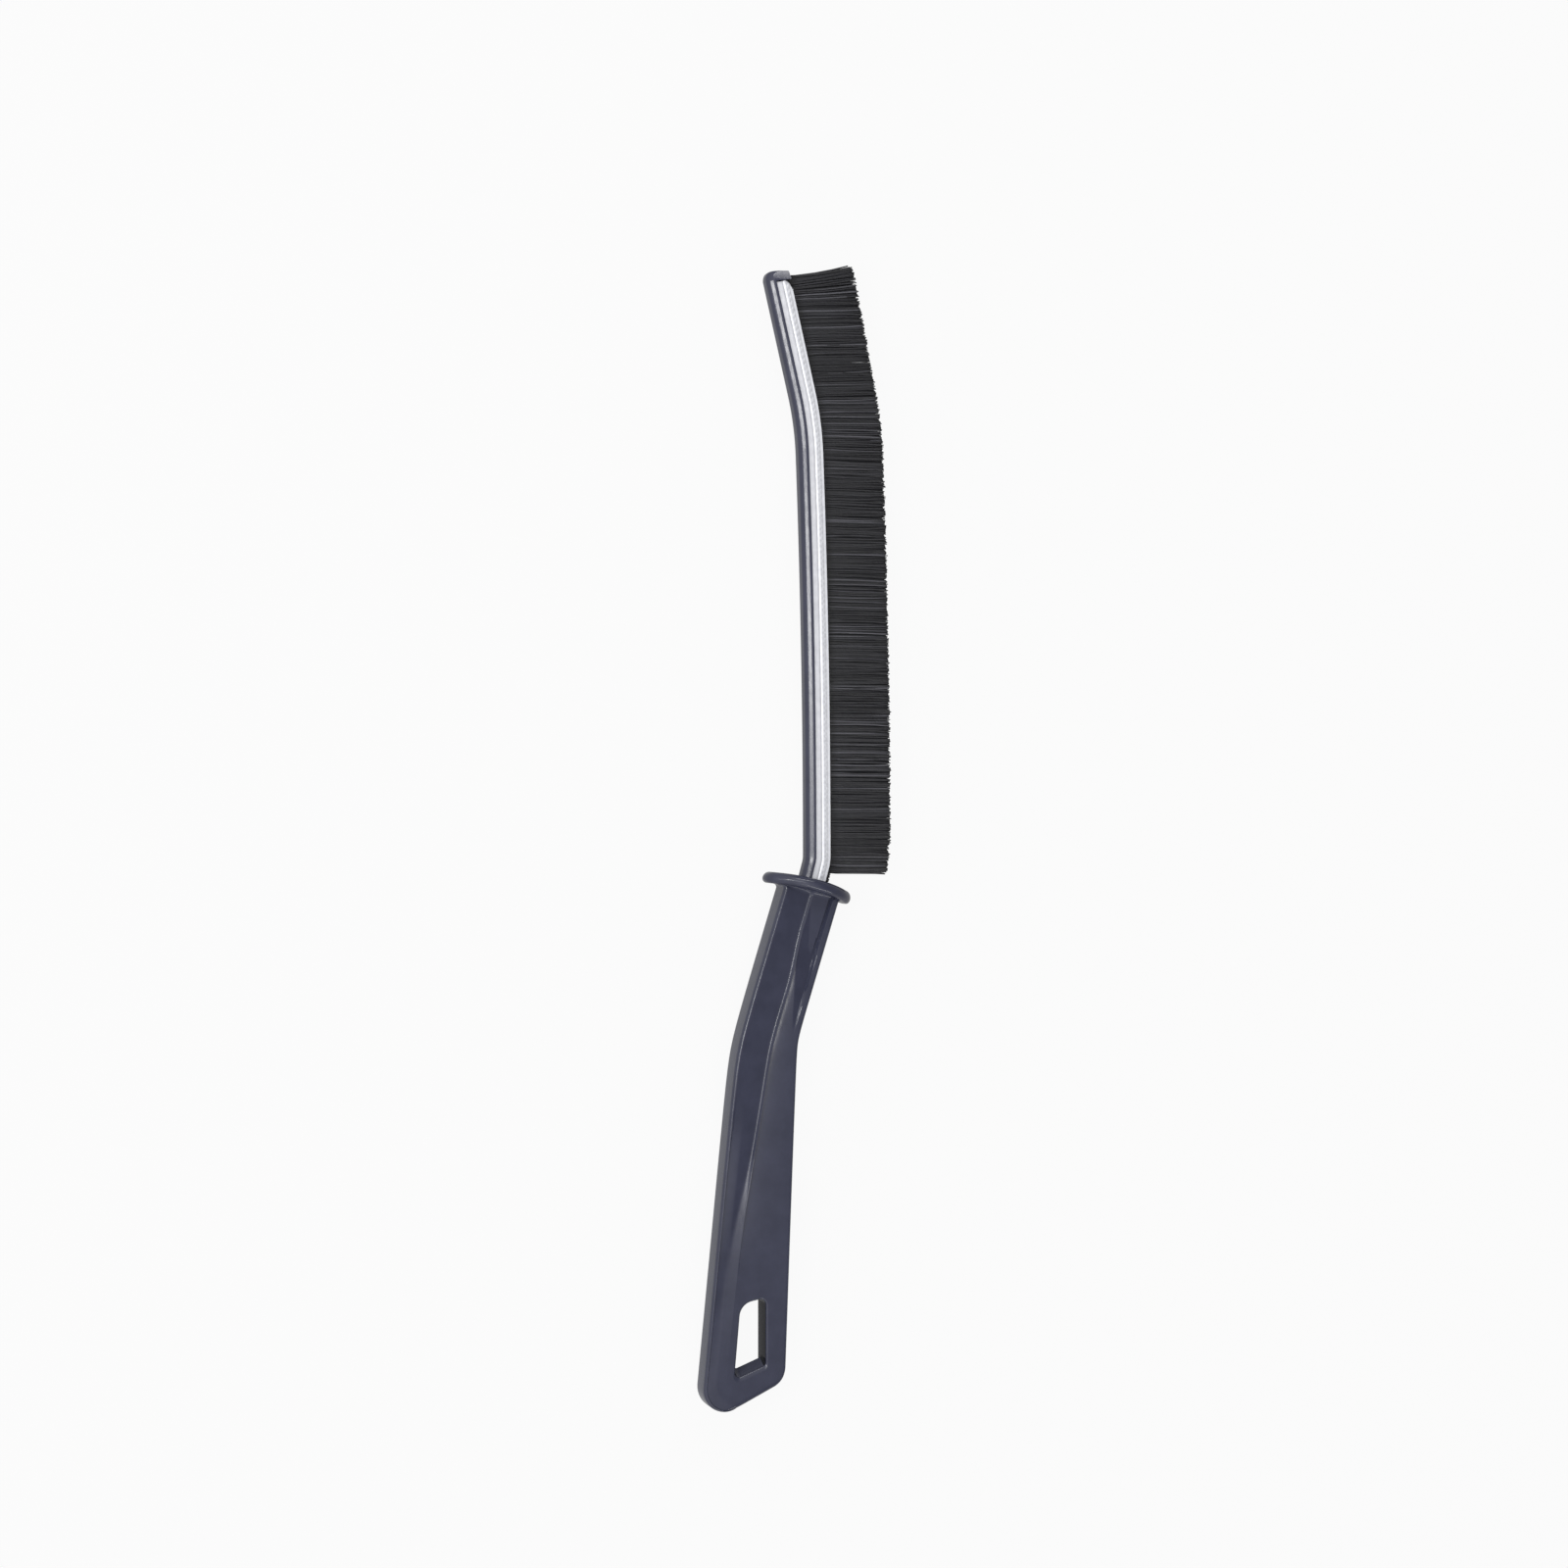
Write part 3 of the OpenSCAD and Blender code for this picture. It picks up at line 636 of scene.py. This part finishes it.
# %% Bending straight rows to the line
def head_frame(s):
    if s < neck_len:
        return go(guard_frame, s)
    if s < s_reach:
        return turn(neck_frame, neck_bend_r, (s - neck_len) / neck_bend_r / rad)
    if s < s_crank:
        return turn(reach_frame, reach_r, (s - s_reach) / reach_r / rad)
    if s < s_tip:
        return turn(crank_frame, crank_r, (s - s_crank) / crank_r / rad)
    return go(tip_frame, s - s_tip)


def bent(straight):
    """Carries rows of [across, along, thickness] to the head's line."""
    straight = np.asarray(straight, float)
    flat = straight.reshape(-1, 3)
    frames = np.array([head_frame(s) for s in flat[:, 1]])
    a = np.radians(frames[:, 2])
    x = frames[:, 0] + flat[:, 0] * np.cos(a)
    y = frames[:, 1] + flat[:, 0] * np.sin(a)
    return np.stack([x, y, flat[:, 2]], 1).reshape(straight.shape)


print("the tip is at", np.round(bent([[0, s_end, 0]])[0, :2], 1), "mm")

# %% [markdown]
# ## The spine
# The spine is a slim bar that holds the strip on three sides. Its back is round, but for a
# narrow flat along each side, and at the tip a thicker end block stops the strip. A channel
# could be extruded as it is, but the block and the rounded corner close its end. So it is
# lofted solid first, and the strip's room is cut out of it.

# %% Half the spine's profile
strip_t, strip_h, sheet_t, fold_r = 3.9, 4.15, 0.5, 0.9
seat_gap, side_wall, slot_wall = 0.05, 0.4, 0.95
spine_depth, spine_r, end_wall, tip_slant, tip_r = 1.85, 1.7, 1.8, 11, 2.0
tip_slope, slot_edge, least_r = 0.3, 0.12, 0.05
spine_steps, flat_start, flat_end = 30, 17, 25
spine_t = strip_t + 2 * (seat_gap + side_wall)
head_depth = strip_h + seat_gap + slot_wall


def back_round(x, z, r, steps=9):
    return [[x + r - r * cos(90 * i / steps), z - r + r * sin(90 * i / steps)]
        for i in range(steps + 1)]


def spine_half(front, inset):
    r = min(spine_r, front + head_depth - inset - least_r)
    rim = back_round(inset - head_depth, spine_t / 2, r, spine_steps)
    start, end = rim[flat_start], rim[flat_end]
    flat = [[mix(start[0], end[0], t), mix(start[1], end[1], t)] for t in (0.12, 0.5, 0.88)]
    half = [[rim[0][0], 0]] + rim[:flat_start + 1:2] + [start] + flat + rim[flat_end:]
    return half + [[front, spine_t / 2], [front, spine_t / 2 - slot_edge], [front, 0]]


print("the spine is", spine_t, "mm thick and", head_depth, "mm deep at its tip")

# %% [markdown]
# The rows start at the tip, round its upper corner and run down to the guard. The end block's
# near face slopes to the tip, and each row near the tip is slanted, as the block's end is.

# %% The spine's rows
spine_step = 0.8


def spine_row(s, front, inset, slant=0):
    thin = 1 - tip_slope * max(0, end_wall - (s_end - s)) / (spine_t / 2)
    return [[x, s - tan(tip_slant) * x * slant, z * thin] for x, z in spine_half(front, inset)]


def spine_rows():
    rows = []
    short = spine_depth - head_depth
    for a in range(0, 91, 6):
        rise = tip_r * (1 - cos(a))
        inset = tip_r - math.sqrt(max(0, tip_r**2 - max(0, tip_r - rise) ** 2))
        front = 0 if rise <= end_wall else short
        rows.append(spine_row(s_end - rise, front, inset, smooth(1 - rise / head_depth)))
    for s in np.arange(s_end - tip_r - spine_step, 0, -spine_step):
        rows.append(spine_row(s, short, 0, smooth(1 - (s_end - s) / head_depth)))
    rows.append(spine_row(0, short, 0))
    flat = [1, 1, 0]
    return [np.array(rows[0]) * flat] + [np.array(row) for row in rows] + [
        np.array(rows[-1]) * flat]


spine = add_sheet("spine", bent(spine_rows()))
mirror_across_middle(spine)
tell(spine)

# %% [markdown]
# The room is as deep as the strip and a hair wider, with the same round corners, because the
# real strip is pressed in. It stops at the end block.

# %% The strip's room
room_low, room_steps = -0.4, 150


def room_rows():
    top, low = s_end - end_wall, room_low
    rim = back_round(-strip_h - seat_gap, strip_t / 2 + seat_gap, fold_r + seat_gap)
    half = [[rim[0][0], 0]] + rim + [[2 * seat_gap, strip_t / 2 + seat_gap], [2 * seat_gap, 0]]
    rows = [np.array([[x, s, z] for x, z in half]) for s in np.linspace(top, low, room_steps)]
    return [rows[0] * [1, 1, 0]] + rows + [rows[-1] * [1, 1, 0]]


room = add_sheet("strip_room", bent(room_rows()))
mirror_across_middle(room)
apply_modifier(spine, "BOOLEAN", operation="DIFFERENCE", solver="EXACT", object=room)
bpy.data.objects.remove(room)
smooth_shading(spine, 40)
tell(spine)

# %% [markdown]
# Grip, guard and spine come out of one mould, so they become one object, which stands for the
# model's own handle. A Boolean union would cut away the few faces inside the guard, but they
# don't show, and joining keeps the even grids.

# %% Joining the moulding
take(grip)
spine.select_set(True)
bpy.ops.object.join()
handle = grip
handle.name = "handle_moulding"
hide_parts("handle")
tell(handle)

# %% [markdown]
# ## The metal strip
# The real strip starts as a flat ribbon. It is pressed with a groove down each leg, folded
# round the core wire and crimped at the mouth, tooth by tooth, so that it bites the
# filaments. An extruded profile would have no crimps, so the ribbon is a grid too: its
# columns follow the fold's section, the crimps are dents in the columns near the mouth, and
# Solidify gives the sheet its thickness.

# %% The fold's section
crimp_in, groove_at, groove_depth, groove_w, lip_len = 0.15, 1.8, 0.09, 0.5, 0.5
column_step = 0.12


def leg_line():
    """Half the sheet's middle line, from the fold's back to the mouth: [across, thickness]."""
    z = (strip_t - sheet_t) / 2
    r = fold_r - sheet_t / 2
    line = [[sheet_t / 2 - strip_h, 0]]
    line += [[fold_r - strip_h - r * cos(a), strip_t / 2 - fold_r + r * sin(a)]
        for a in range(0, 91, 15)]
    for x in np.arange(fold_r - strip_h + column_step, -0.01, column_step):
        press = groove_depth * bump(x + groove_at, groove_w / 2.4)
        pinch = crimp_in * smooth((x + 2 * lip_len) / lip_len)
        line.append([x, z - press - pinch])
    line.append([0, z - crimp_in])
    return np.array(line)


print("half the fold has", len(leg_line()), "points")

# %% [markdown]
# The rows run from the tip into the guard. Every 1.2 mm a tooth of the press has dented both
# legs, and at the tip the mouth's corner is drawn in, so that it can't catch.

# %% The folded ribbon
crimp_pitch, crimp_depth, crimp_at, crimp_w = 1.2, 0.13, 1.0, 0.22
strip_top, strip_low, row_step = s_end - end_wall - seat_gap, -1.0, 0.2
corner_cut, corner_deep = 2.4, 1.3


def ribbon_rows():
    half = leg_line()
    whole = np.concatenate([half[:0:-1] * [1, -1], half])
    rows = []
    for s in np.arange(strip_top, strip_low, -row_step):
        row = np.stack([whole[:, 0], np.full(len(whole), s), whole[:, 1]], 1)
        tooth = bump((s % crimp_pitch) - crimp_pitch / 2, crimp_pitch / 4)
        dent = crimp_depth * tooth * bump(whole[:, 0] + crimp_at, crimp_w)
        row[:, 2] -= np.sign(whole[:, 1]) * dent
        cut = max(0, corner_cut - (strip_top - s)) / corner_cut
        row[:, 0] = np.minimum(row[:, 0], -corner_deep * cut**2)
        rows.append(row)
    return rows


strip = add_sheet("crimped_strip", bent(ribbon_rows()))
apply_modifier(strip, "SOLIDIFY", thickness=sheet_t * mm, offset=0)
close_seams(strip, 0.0005)
smooth_shading(strip, 50)
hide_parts("metal_strip")
tell(strip)

# %% [markdown]
# ## The filaments
# Thousands of stiff black filaments stand in the strip. A hair system could grow them, but it
# leaves no mesh behind. Only one is modelled: a slim cone cut into a few lengths, so that it
# can bow. It is then copied along and across the strip, and each copy gets its own lean, bow
# and length.

# %% One filament
bristle_len, root_depth = 13.5, 1.2
fill_from, fill_to = guard_t / 2 + 0.15, s_end - 0.55
fill_w = strip_t - 2 * (sheet_t + max(crimp_in, groove_depth) + seat_gap)
filament_d, cut_end_d, filament_cuts = 0.3, 0.252, 4

deselect()
bpy.ops.mesh.primitive_cone_add(vertices=5, radius1=filament_d / 2, radius2=cut_end_d / 2,
    depth=1, location=(0, 0, 0.5), end_fill_type="TRIFAN")
filament = bpy.context.object
bpy.ops.object.transform_apply(location=True)
for i in range(1, filament_cuts):
    edit(filament)
    bpy.ops.mesh.bisect(plane_co=(0, 0, i / filament_cuts), plane_no=(0, 0, 1))
    leave()
one = get_points(filament)
one_faces = [list(p.vertices) for p in filament.data.polygons]
bpy.data.objects.remove(filament)
print("one filament has", len(one_faces), "faces")

# %% [markdown]
# Real filaments are fed in as a loose bundle, so they never stand in perfect rows. Each starts
# from an even row and rank and is moved a little along and across.

# %% Places along and across the strip
rng = np.random.default_rng(7)
pitch_along, ranks, loose_along, loose_across = 0.29, 9, 0.11, 0.05


def filament_places(start, end):
    places = []
    for s in np.arange(start, end, pitch_along):
        for rank in range(ranks):
            z = (rank + 0.5 - ranks / 2) * fill_w / ranks
            places.append([s + rng.uniform(-loose_along, loose_along),
                z + rng.uniform(-loose_across, loose_across), rank])
    return places


print("filaments across the strip:", ranks)

# %% [markdown]
# The filaments stand nearly square to the head and follow its bends only in part. They lean
# in small clumps, splay towards the tip and curl forward there, and the very last ones are
# ragged. Next to the guard only short stubs fit. The random numbers are seeded, so each run
# gives the same brush.

# %% Lean, length and bow of one filament
follow, droop, splay_turn, splay_len, splay_curl = 0.3, 0.6, 5.5, 7.3, 3.7
tip_grow, tip_grow_len = 0.8, 30
ragged_len, ragged_cut, ragged_turn = 2.2, 1.1, 4.5
stub_run, stub_len, heel_run, heel_cut = 1.8, 0.9, 8, 0.35
clump_turn, clump_len, lean_loose, length_loose = 0.4, 0.08, 0.35, 0.09
side_fan, side_loose, bow_loose = 0.6, 0.7, 0.14


def lean_and_length(s, heading):
    clump = math.sin(s * 2.1) + 0.6 * math.sin(s * 5.3 + 1)
    splay = smooth(1 - (fill_to - s) / splay_len)
    lean = follow * max(heading, 0) - droop + splay_turn * splay
    lean = lean + clump_turn * clump + rng.normal(0, lean_loose)
    longer = tip_grow * smooth(1 - (fill_to - s) / tip_grow_len)
    length = bristle_len + longer + clump_len * clump + rng.normal(0, length_loose)
    ragged = smooth(1 - (fill_to - s) / ragged_len)
    length -= rng.uniform(0, ragged_cut) * ragged
    lean -= rng.uniform(0, ragged_turn) * ragged
    if s < fill_from + stub_run:
        length = stub_len
    elif s < fill_from + heel_run:
        length -= heel_cut
    return lean, length, length * math.tan(math.radians(splay_curl * splay))


def filament_points(s, z, rank):
    heading = head_frame(s)[2]
    a, length, curl = lean_and_length(s, heading)
    side = rng.normal(0, side_loose) + side_fan * (rank - (ranks - 1) / 2) / ranks
    bow = rng.normal(0, bow_loose)
    run = one[:, 2] * (length + root_depth) - root_depth
    free = np.clip(run / bristle_len, 0, 1)
    root = np.array(bent([[0, s, z]]))[0]
    forward = np.array([cos(a), sin(a), 0])
    aside = np.array([-sin(a), cos(a), 0])
    inside = np.array([cos(heading), sin(heading), 0])
    along = np.where(run[:, None] < 0, run[:, None] * inside, run[:, None] * forward)
    wander = one[:, 0] + bow * free * (1 - free) * 4 + curl * free**2
    lift = one[:, 1] + free * run * tan(side)
    return root + along + wander[:, None] * aside + lift[:, None] * np.array([0, 0, 1])


print("free filaments are", bristle_len, "mm long, and", bristle_len + tip_grow, "at the tip")

# %% [markdown]
# The copies of a length of the head become one mesh. Joining thousands of objects would take
# minutes, so their points are gathered first. A UV map keeps each one's shade and the
# distance along it, which its material reads.

# %% The three lengths of filament
def add_filaments(name, start, end, node):
    points, faces, marks = [], [], []
    for i, (s, z, rank) in enumerate(filament_places(start, end)):
        points.append(filament_points(s, z, rank))
        shade = rng.uniform()
        marks.append(np.stack([np.full(len(one), shade), one[:, 2]], 1))
        faces += [[v + i * len(one) for v in face] for face in one_faces]
    mesh = bpy.data.meshes.new(name)
    mesh.from_pydata((np.concatenate(points) * mm + guard_middle).tolist(), [], faces)
    layer = mesh.uv_layers.new(name="filament")
    corners = np.zeros(len(mesh.loops), np.int32)
    mesh.loops.foreach_get("vertex_index", corners)
    layer.data.foreach_set("uv", np.concatenate(marks)[corners].astype(np.float32).ravel())
    piece = bpy.data.objects.new(name, mesh)
    bpy.context.collection.objects.link(piece)
    smooth_shading(piece, 60)
    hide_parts(node)
    tell(piece)
    return piece


length_share = 0.36
cut_heel = mix(fill_from, fill_to, length_share)
cut_middle = mix(fill_from, fill_to, 2 * length_share)
filaments = [
    add_filaments("filaments_heel", fill_from, cut_heel, "bristles_heel"),
    add_filaments("filaments_middle", cut_heel, cut_middle, "bristles_middle"),
    add_filaments("filaments_tip", cut_middle, fill_to, "bristles_tip"),
]

# %% [markdown]
# ## Finishes
# All the finishes are built the same way: noise on the object's own coordinates is turned into
# a colour, a roughness or a fine bump. Painted images could do this too, but noise needs no
# file, has no seams and stays sharp close up. A few helpers add the nodes and link them.

# %% New materials and noise
def new_material(name):
    material = bpy.data.materials.new(name)
    material.use_nodes = True
    tree = material.node_tree
    shader = tree.nodes["Principled BSDF"]
    place = tree.nodes.new("ShaderNodeTexCoord")
    return material, tree, shader, place.outputs["Object"]


def noise(tree, vector, scale, detail=4, stretch=None):
    if stretch:
        mapping = tree.nodes.new("ShaderNodeMapping")
        mapping.inputs["Scale"].default_value = stretch
        tree.links.new(vector, mapping.inputs["Vector"])
        vector = mapping.outputs["Vector"]
    node = tree.nodes.new("ShaderNodeTexNoise")
    node.inputs["Scale"].default_value = scale
    node.inputs["Detail"].default_value = detail
    tree.links.new(vector, node.inputs["Vector"])
    return node.outputs["Fac"]


# %% [markdown]
# Noise hovers about a half and seldom reaches 0 or 1, so its middle part is stretched before
# it drives a colour or a number.

# %% From noise to colours, numbers and bumps
def ramp(tree, value, stops):
    node = tree.nodes.new("ShaderNodeValToRGB")
    elements = node.color_ramp.elements
    while len(elements) < len(stops):
        elements.new(0.5)
    for element, (at, colour) in zip(elements, stops):
        element.position = at
        element.color = (*colour, 1)
    tree.links.new(value, node.inputs["Fac"])
    return node.outputs["Color"]


def rescale(tree, value, low, high, from_low=0.3, from_high=0.7):
    node = tree.nodes.new("ShaderNodeMapRange")
    node.inputs["From Min"].default_value = from_low
    node.inputs["From Max"].default_value = from_high
    node.inputs["To Min"].default_value = low
    node.inputs["To Max"].default_value = high
    tree.links.new(value, node.inputs["Value"])
    return node.outputs["Result"]


def scaled(tree, value, factor):
    node = tree.nodes.new("ShaderNodeMath")
    node.operation = "MULTIPLY"
    node.inputs[1].default_value = factor
    tree.links.new(value, node.inputs[0])
    return node.outputs["Value"]


def relief_from(tree, value, shader, distance, strength=1.0):
    node = tree.nodes.new("ShaderNodeBump")
    node.inputs["Distance"].default_value = distance
    node.inputs["Strength"].default_value = strength
    tree.links.new(value, node.inputs["Height"])
    tree.links.new(node.outputs["Normal"], shader.inputs["Normal"])


# %% Colours as they look, and giving a piece its finish
def finish_with(piece, material):
    piece.data.materials.clear()
    piece.data.materials.append(material)
    print("finished", piece.name, "with", material.name)


def from_srgb(r, g, b):
    """A colour given as it looks, from 0 to 255, turned into the shader's linear values."""
    return tuple(c / 255 / 12.92 if c <= 10 else ((c / 255 + 0.055) / 1.055) ** 2.4
        for c in (r, g, b))


# %% [markdown]
# The moulding is a dark blue-grey plastic with a gloss, a faint mottle and fine scuffs. One
# flat colour would look like a drawing, so noise mixes two close tones and shifts the
# roughness a little, and a very fine bump breaks up the reflections. The mark on the hole's
# walls picks a darker tone, painted shade for the hollow, and takes most of the gloss away.

# %% Moulded plastic
def moulded_plastic():
    material, tree, shader, place = new_material("moulded_plastic")
    mottle = noise(tree, place, 260, 5)
    tone = ramp(tree, mottle, [(0.3, from_srgb(48, 50, 66)), (0.7, from_srgb(54, 56, 73))])
    inside = tree.nodes.new("ShaderNodeAttribute")
    inside.attribute_name = "inside"
    mixed = tree.nodes.new("ShaderNodeMix")
    mixed.data_type = "RGBA"
    tree.links.new(inside.outputs["Fac"], mixed.inputs["Factor"])
    tree.links.new(tone, mixed.inputs["A"])
    # painted shade: the hole's walls take this darker tone
    mixed.inputs["B"].default_value = (*from_srgb(24, 25, 31), 1)
    tree.links.new(mixed.outputs["Result"], shader.inputs["Base Color"])
    tree.links.new(rescale(tree, inside.outputs["Fac"], 0.5, 0.08, 0, 1),
        shader.inputs["Specular IOR Level"])
    scuffs = noise(tree, place, 1, 3, (2200, 500, 2200))
    tree.links.new(rescale(tree, scuffs, 0.13, 0.24), shader.inputs["Roughness"])
    relief_from(tree, noise(tree, place, 1100, 2), shader, 0.000005)
    shader.inputs["IOR"].default_value = 1.5
    return material


finish_with(handle, moulded_plastic())

# %% [markdown]
# The strip is bright coated sheet. Rolling leaves fine lines along it, so the noise is
# stretched along the head and drives the roughness and a shallow bump. Full metal would only
# mirror the room, and the coating scatters light, so the sheet is a little less than metal.
# The wire keeps the model's own shape and gets the same finish in a darker tone.

# %% Bright sheet metal and drawn wire
def bright_sheet(name, light, dark, low, high):
    material, tree, shader, place = new_material(name)
    lines = noise(tree, place, 1, 4, (5000, 160, 5000))
    cloud = noise(tree, place, 700, 3)
    tree.links.new(ramp(tree, cloud, [(0.25, dark), (0.75, light)]), shader.inputs["Base Color"])
    tree.links.new(rescale(tree, lines, low, high), shader.inputs["Roughness"])
    relief_from(tree, lines, shader, 0.000015)
    shader.inputs["Metallic"].default_value = 0.6
    return material


sheet_tones = from_srgb(238, 239, 244), from_srgb(222, 223, 229)
wire_tones = from_srgb(170, 170, 174), from_srgb(150, 150, 155)
finish_with(strip, bright_sheet("bright_sheet", *sheet_tones, 0.42, 0.55))
finish_with(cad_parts["core_wire"], bright_sheet("drawn_wire", *wire_tones, 0.25, 0.4))

# %% [markdown]
# Each filament has a tone of its own, painted darkest at the root as shade where no light
# reaches, and darker at its cut end. Object coordinates can't tell one filament from the next,
# so the UV map does: across it lies the tone, and up it the place along the filament.

# %% Black filament
def black_filament():
    material, tree, shader, place = new_material("black_filament")
    mark = tree.nodes.new("ShaderNodeUVMap")
    mark.uv_map = "filament"
    parts = tree.nodes.new("ShaderNodeSeparateXYZ")
    tree.links.new(mark.outputs["UV"], parts.inputs["Vector"])
    shade = ramp(tree, parts.outputs["X"], [(0.0, from_srgb(26, 26, 29)),
        (0.85, from_srgb(42, 42, 46)), (1.0, from_srgb(84, 84, 90))])
    # painted shade: each filament's root end is darkened, and its cut end a little
    along = ramp(tree, parts.outputs["Y"], [(0.05, (0.12, 0.12, 0.12)), (0.22, (1, 1, 1)),
        (0.93, (1, 1, 1)), (1.0, (0.5, 0.5, 0.5))])
    both = tree.nodes.new("ShaderNodeMix")
    both.data_type = "RGBA"
    both.blend_type = "MULTIPLY"
    both.inputs["Factor"].default_value = 1
    tree.links.new(shade, both.inputs["A"])
    tree.links.new(along, both.inputs["B"])
    tree.links.new(both.outputs["Result"], shader.inputs["Base Color"])
    grain = noise(tree, place, 900, 3)
    tree.links.new(rescale(tree, grain, 0.42, 0.6), shader.inputs["Roughness"])
    return material


filament_black = black_filament()
for piece in filaments:
    finish_with(piece, filament_black)

# %% [markdown]
# ## Riding on the body
# A piece that rides on a body moves with it in every pose. The brush has no joint, so all its
# pieces ride on the one body. The wire is the model's own and rides there already.

# %% Riding
for piece in [handle, strip, *filaments]:
    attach(piece, "root")
    print(piece.name, "rides on root")

# %% [markdown]
# ## The floor, the light and the camera
# The brush lies on its side on a white floor. More light would make the floor white, but it
# would bleach the brush as well. So the floor is mostly its own glow in the camera's eyes, and
# partly in reflections, and its grey takes a soft shadow.

# %% Floor
floor_grey, floor_glow, floor_mirror = 0.42, 0.93, 0.27


def white_floor():
    material, tree, shader, _ = new_material("white_floor")
    shader.inputs["Roughness"].default_value = 0.9
    shader.inputs["Base Color"].default_value = (floor_grey, floor_grey, floor_grey, 1)
    rays = tree.nodes.new("ShaderNodeLightPath")
    eye = scaled(tree, rays.outputs["Is Camera Ray"], floor_glow)
    mirror = scaled(tree, rays.outputs["Is Glossy Ray"], floor_mirror)
    share = tree.nodes.new("ShaderNodeMath")
    share.operation = "MAXIMUM"
    tree.links.new(eye, share.inputs[0])
    tree.links.new(mirror, share.inputs[1])
    glow = tree.nodes.new("ShaderNodeEmission")
    glow.inputs["Strength"].default_value = 1.0
    blend = tree.nodes.new("ShaderNodeMixShader")
    tree.links.new(share.outputs["Value"], blend.inputs["Fac"])
    tree.links.new(shader.outputs["BSDF"], blend.inputs[1])
    tree.links.new(glow.outputs["Emission"], blend.inputs[2])
    tree.links.new(blend.outputs["Shader"], tree.nodes["Material Output"].inputs["Surface"])
    return material


deselect()
bpy.ops.mesh.primitive_plane_add(size=6, location=(0, 0, -0.0002))
floor = bpy.context.object
floor.name = "floor"
finish_with(floor, white_floor())
tell(floor)

# %% [markdown]
# Glossy plastic shows the room in it, so the room does most of the lighting. It is a world
# whose brightness depends on the angle from overhead, across the brush: bright over the back
# edge, dark over the front. The grip's faces pick their tones from it, as they do in a studio
# with a pale wall on one side and a dark one on the other. Big lamps could do it too, but
# they leave gaps between them that show in the gloss.

# %% The room
room_light = [(-90, 0.8), (-55, 0.9), (-30, 1.1), (-12, 1.35), (0, 1.0), (18, 0.44),
    (32, 0.16), (60, 0.3), (90, 0.5)]


def soft_room():
    world = bpy.data.worlds.new("soft_room")
    world.use_nodes = True
    tree = world.node_tree
    place = tree.nodes.new("ShaderNodeTexCoord")
    parts = tree.nodes.new("ShaderNodeSeparateXYZ")
    tree.links.new(place.outputs["Generated"], parts.inputs["Vector"])
    angle = tree.nodes.new("ShaderNodeMath")
    angle.operation = "ARCTAN2"
    tree.links.new(parts.outputs["X"], angle.inputs[0])
    tree.links.new(parts.outputs["Z"], angle.inputs[1])
    share = rescale(tree, angle.outputs["Value"], 0, 1, -math.pi / 2, math.pi / 2)
    glow = ramp(tree, share, [((a + 90) / 180, (v, v, v)) for a, v in room_light])
    rays = tree.nodes.new("ShaderNodeLightPath")
    seen = tree.nodes.new("ShaderNodeMix")
    seen.data_type = "RGBA"
    tree.links.new(rays.outputs["Is Camera Ray"], seen.inputs["Factor"])
    tree.links.new(glow, seen.inputs["A"])
    seen.inputs["B"].default_value = (1, 1, 1, 1)
    tree.links.new(seen.outputs["Result"], tree.nodes["Background"].inputs["Color"])
    return world


bpy.context.scene.world = soft_room()
print("the room has", len(room_light), "steps of light")

# %% [markdown]
# Four slim panels add what the room lacks: a bright line along the back edges, a little more
# of it on the head, and a gleam on the tip and on the butt's end. Each one is turned so that
# it faces the brush.

# %% Panels
def panel(name, place, size, size_y, watts):
    deselect()
    facing = Vector(place).to_track_quat("Z", "Y").to_euler()
    bpy.ops.object.light_add(type="AREA", location=place, rotation=facing)
    lamp = bpy.context.object
    lamp.name = name
    lamp.data.shape = "RECTANGLE"
    lamp.data.size = size
    lamp.data.size_y = size_y
    lamp.data.energy = watts
    print(f"{name}: {watts} W")


panel("back_side_panel", (-0.47, 0, 0.65), 0.1, 1.0, 1.3)
panel("head_panel", (-0.47, 0.09, 0.65), 0.1, 0.24, 1.2)
panel("tip_side_panel", (0.1, 0.75, 0.6), 0.5, 0.12, 1.6)
panel("butt_side_panel", (0.15, -0.85, 0.35), 0.5, 0.12, 1.2)

# %% [markdown]
# The photograph is taken square to the brush's length, from about 60 cm, and turned a little
# so that the back edge shows. The lens could be found by trial. Its scale gives it at once:
# so many pixels for a millimetre at the guard, where the drawing's origin is.

# %% Camera
view_turn = 18
camera_away = 600 * mm
image_size = 1600
pixels_per_mm = 4.8875
guard_pixel = (824, 902)
sensor = 36

right = np.array([cos(view_turn), 0, sin(view_turn)])
forward = np.array([sin(view_turn), 0, -cos(view_turn)])
middle_across = (image_size / 2 - guard_pixel[0]) / pixels_per_mm * mm
middle_up = (guard_pixel[1] - image_size / 2) / pixels_per_mm * mm
eye = guard_middle + right * middle_across + np.array([0, middle_up, 0]) - forward * camera_away
deselect()
bpy.ops.object.camera_add(location=eye, rotation=(0, math.radians(-view_turn), 0))
camera = bpy.context.object
camera.data.sensor_width = sensor
camera.data.lens = sensor * camera_away / (image_size / pixels_per_mm * mm)
camera.data.clip_start = 0.01
bpy.context.scene.camera = camera
bpy.context.scene.view_settings.view_transform = "Standard"
print("lens", round(camera.data.lens, 1), "mm")
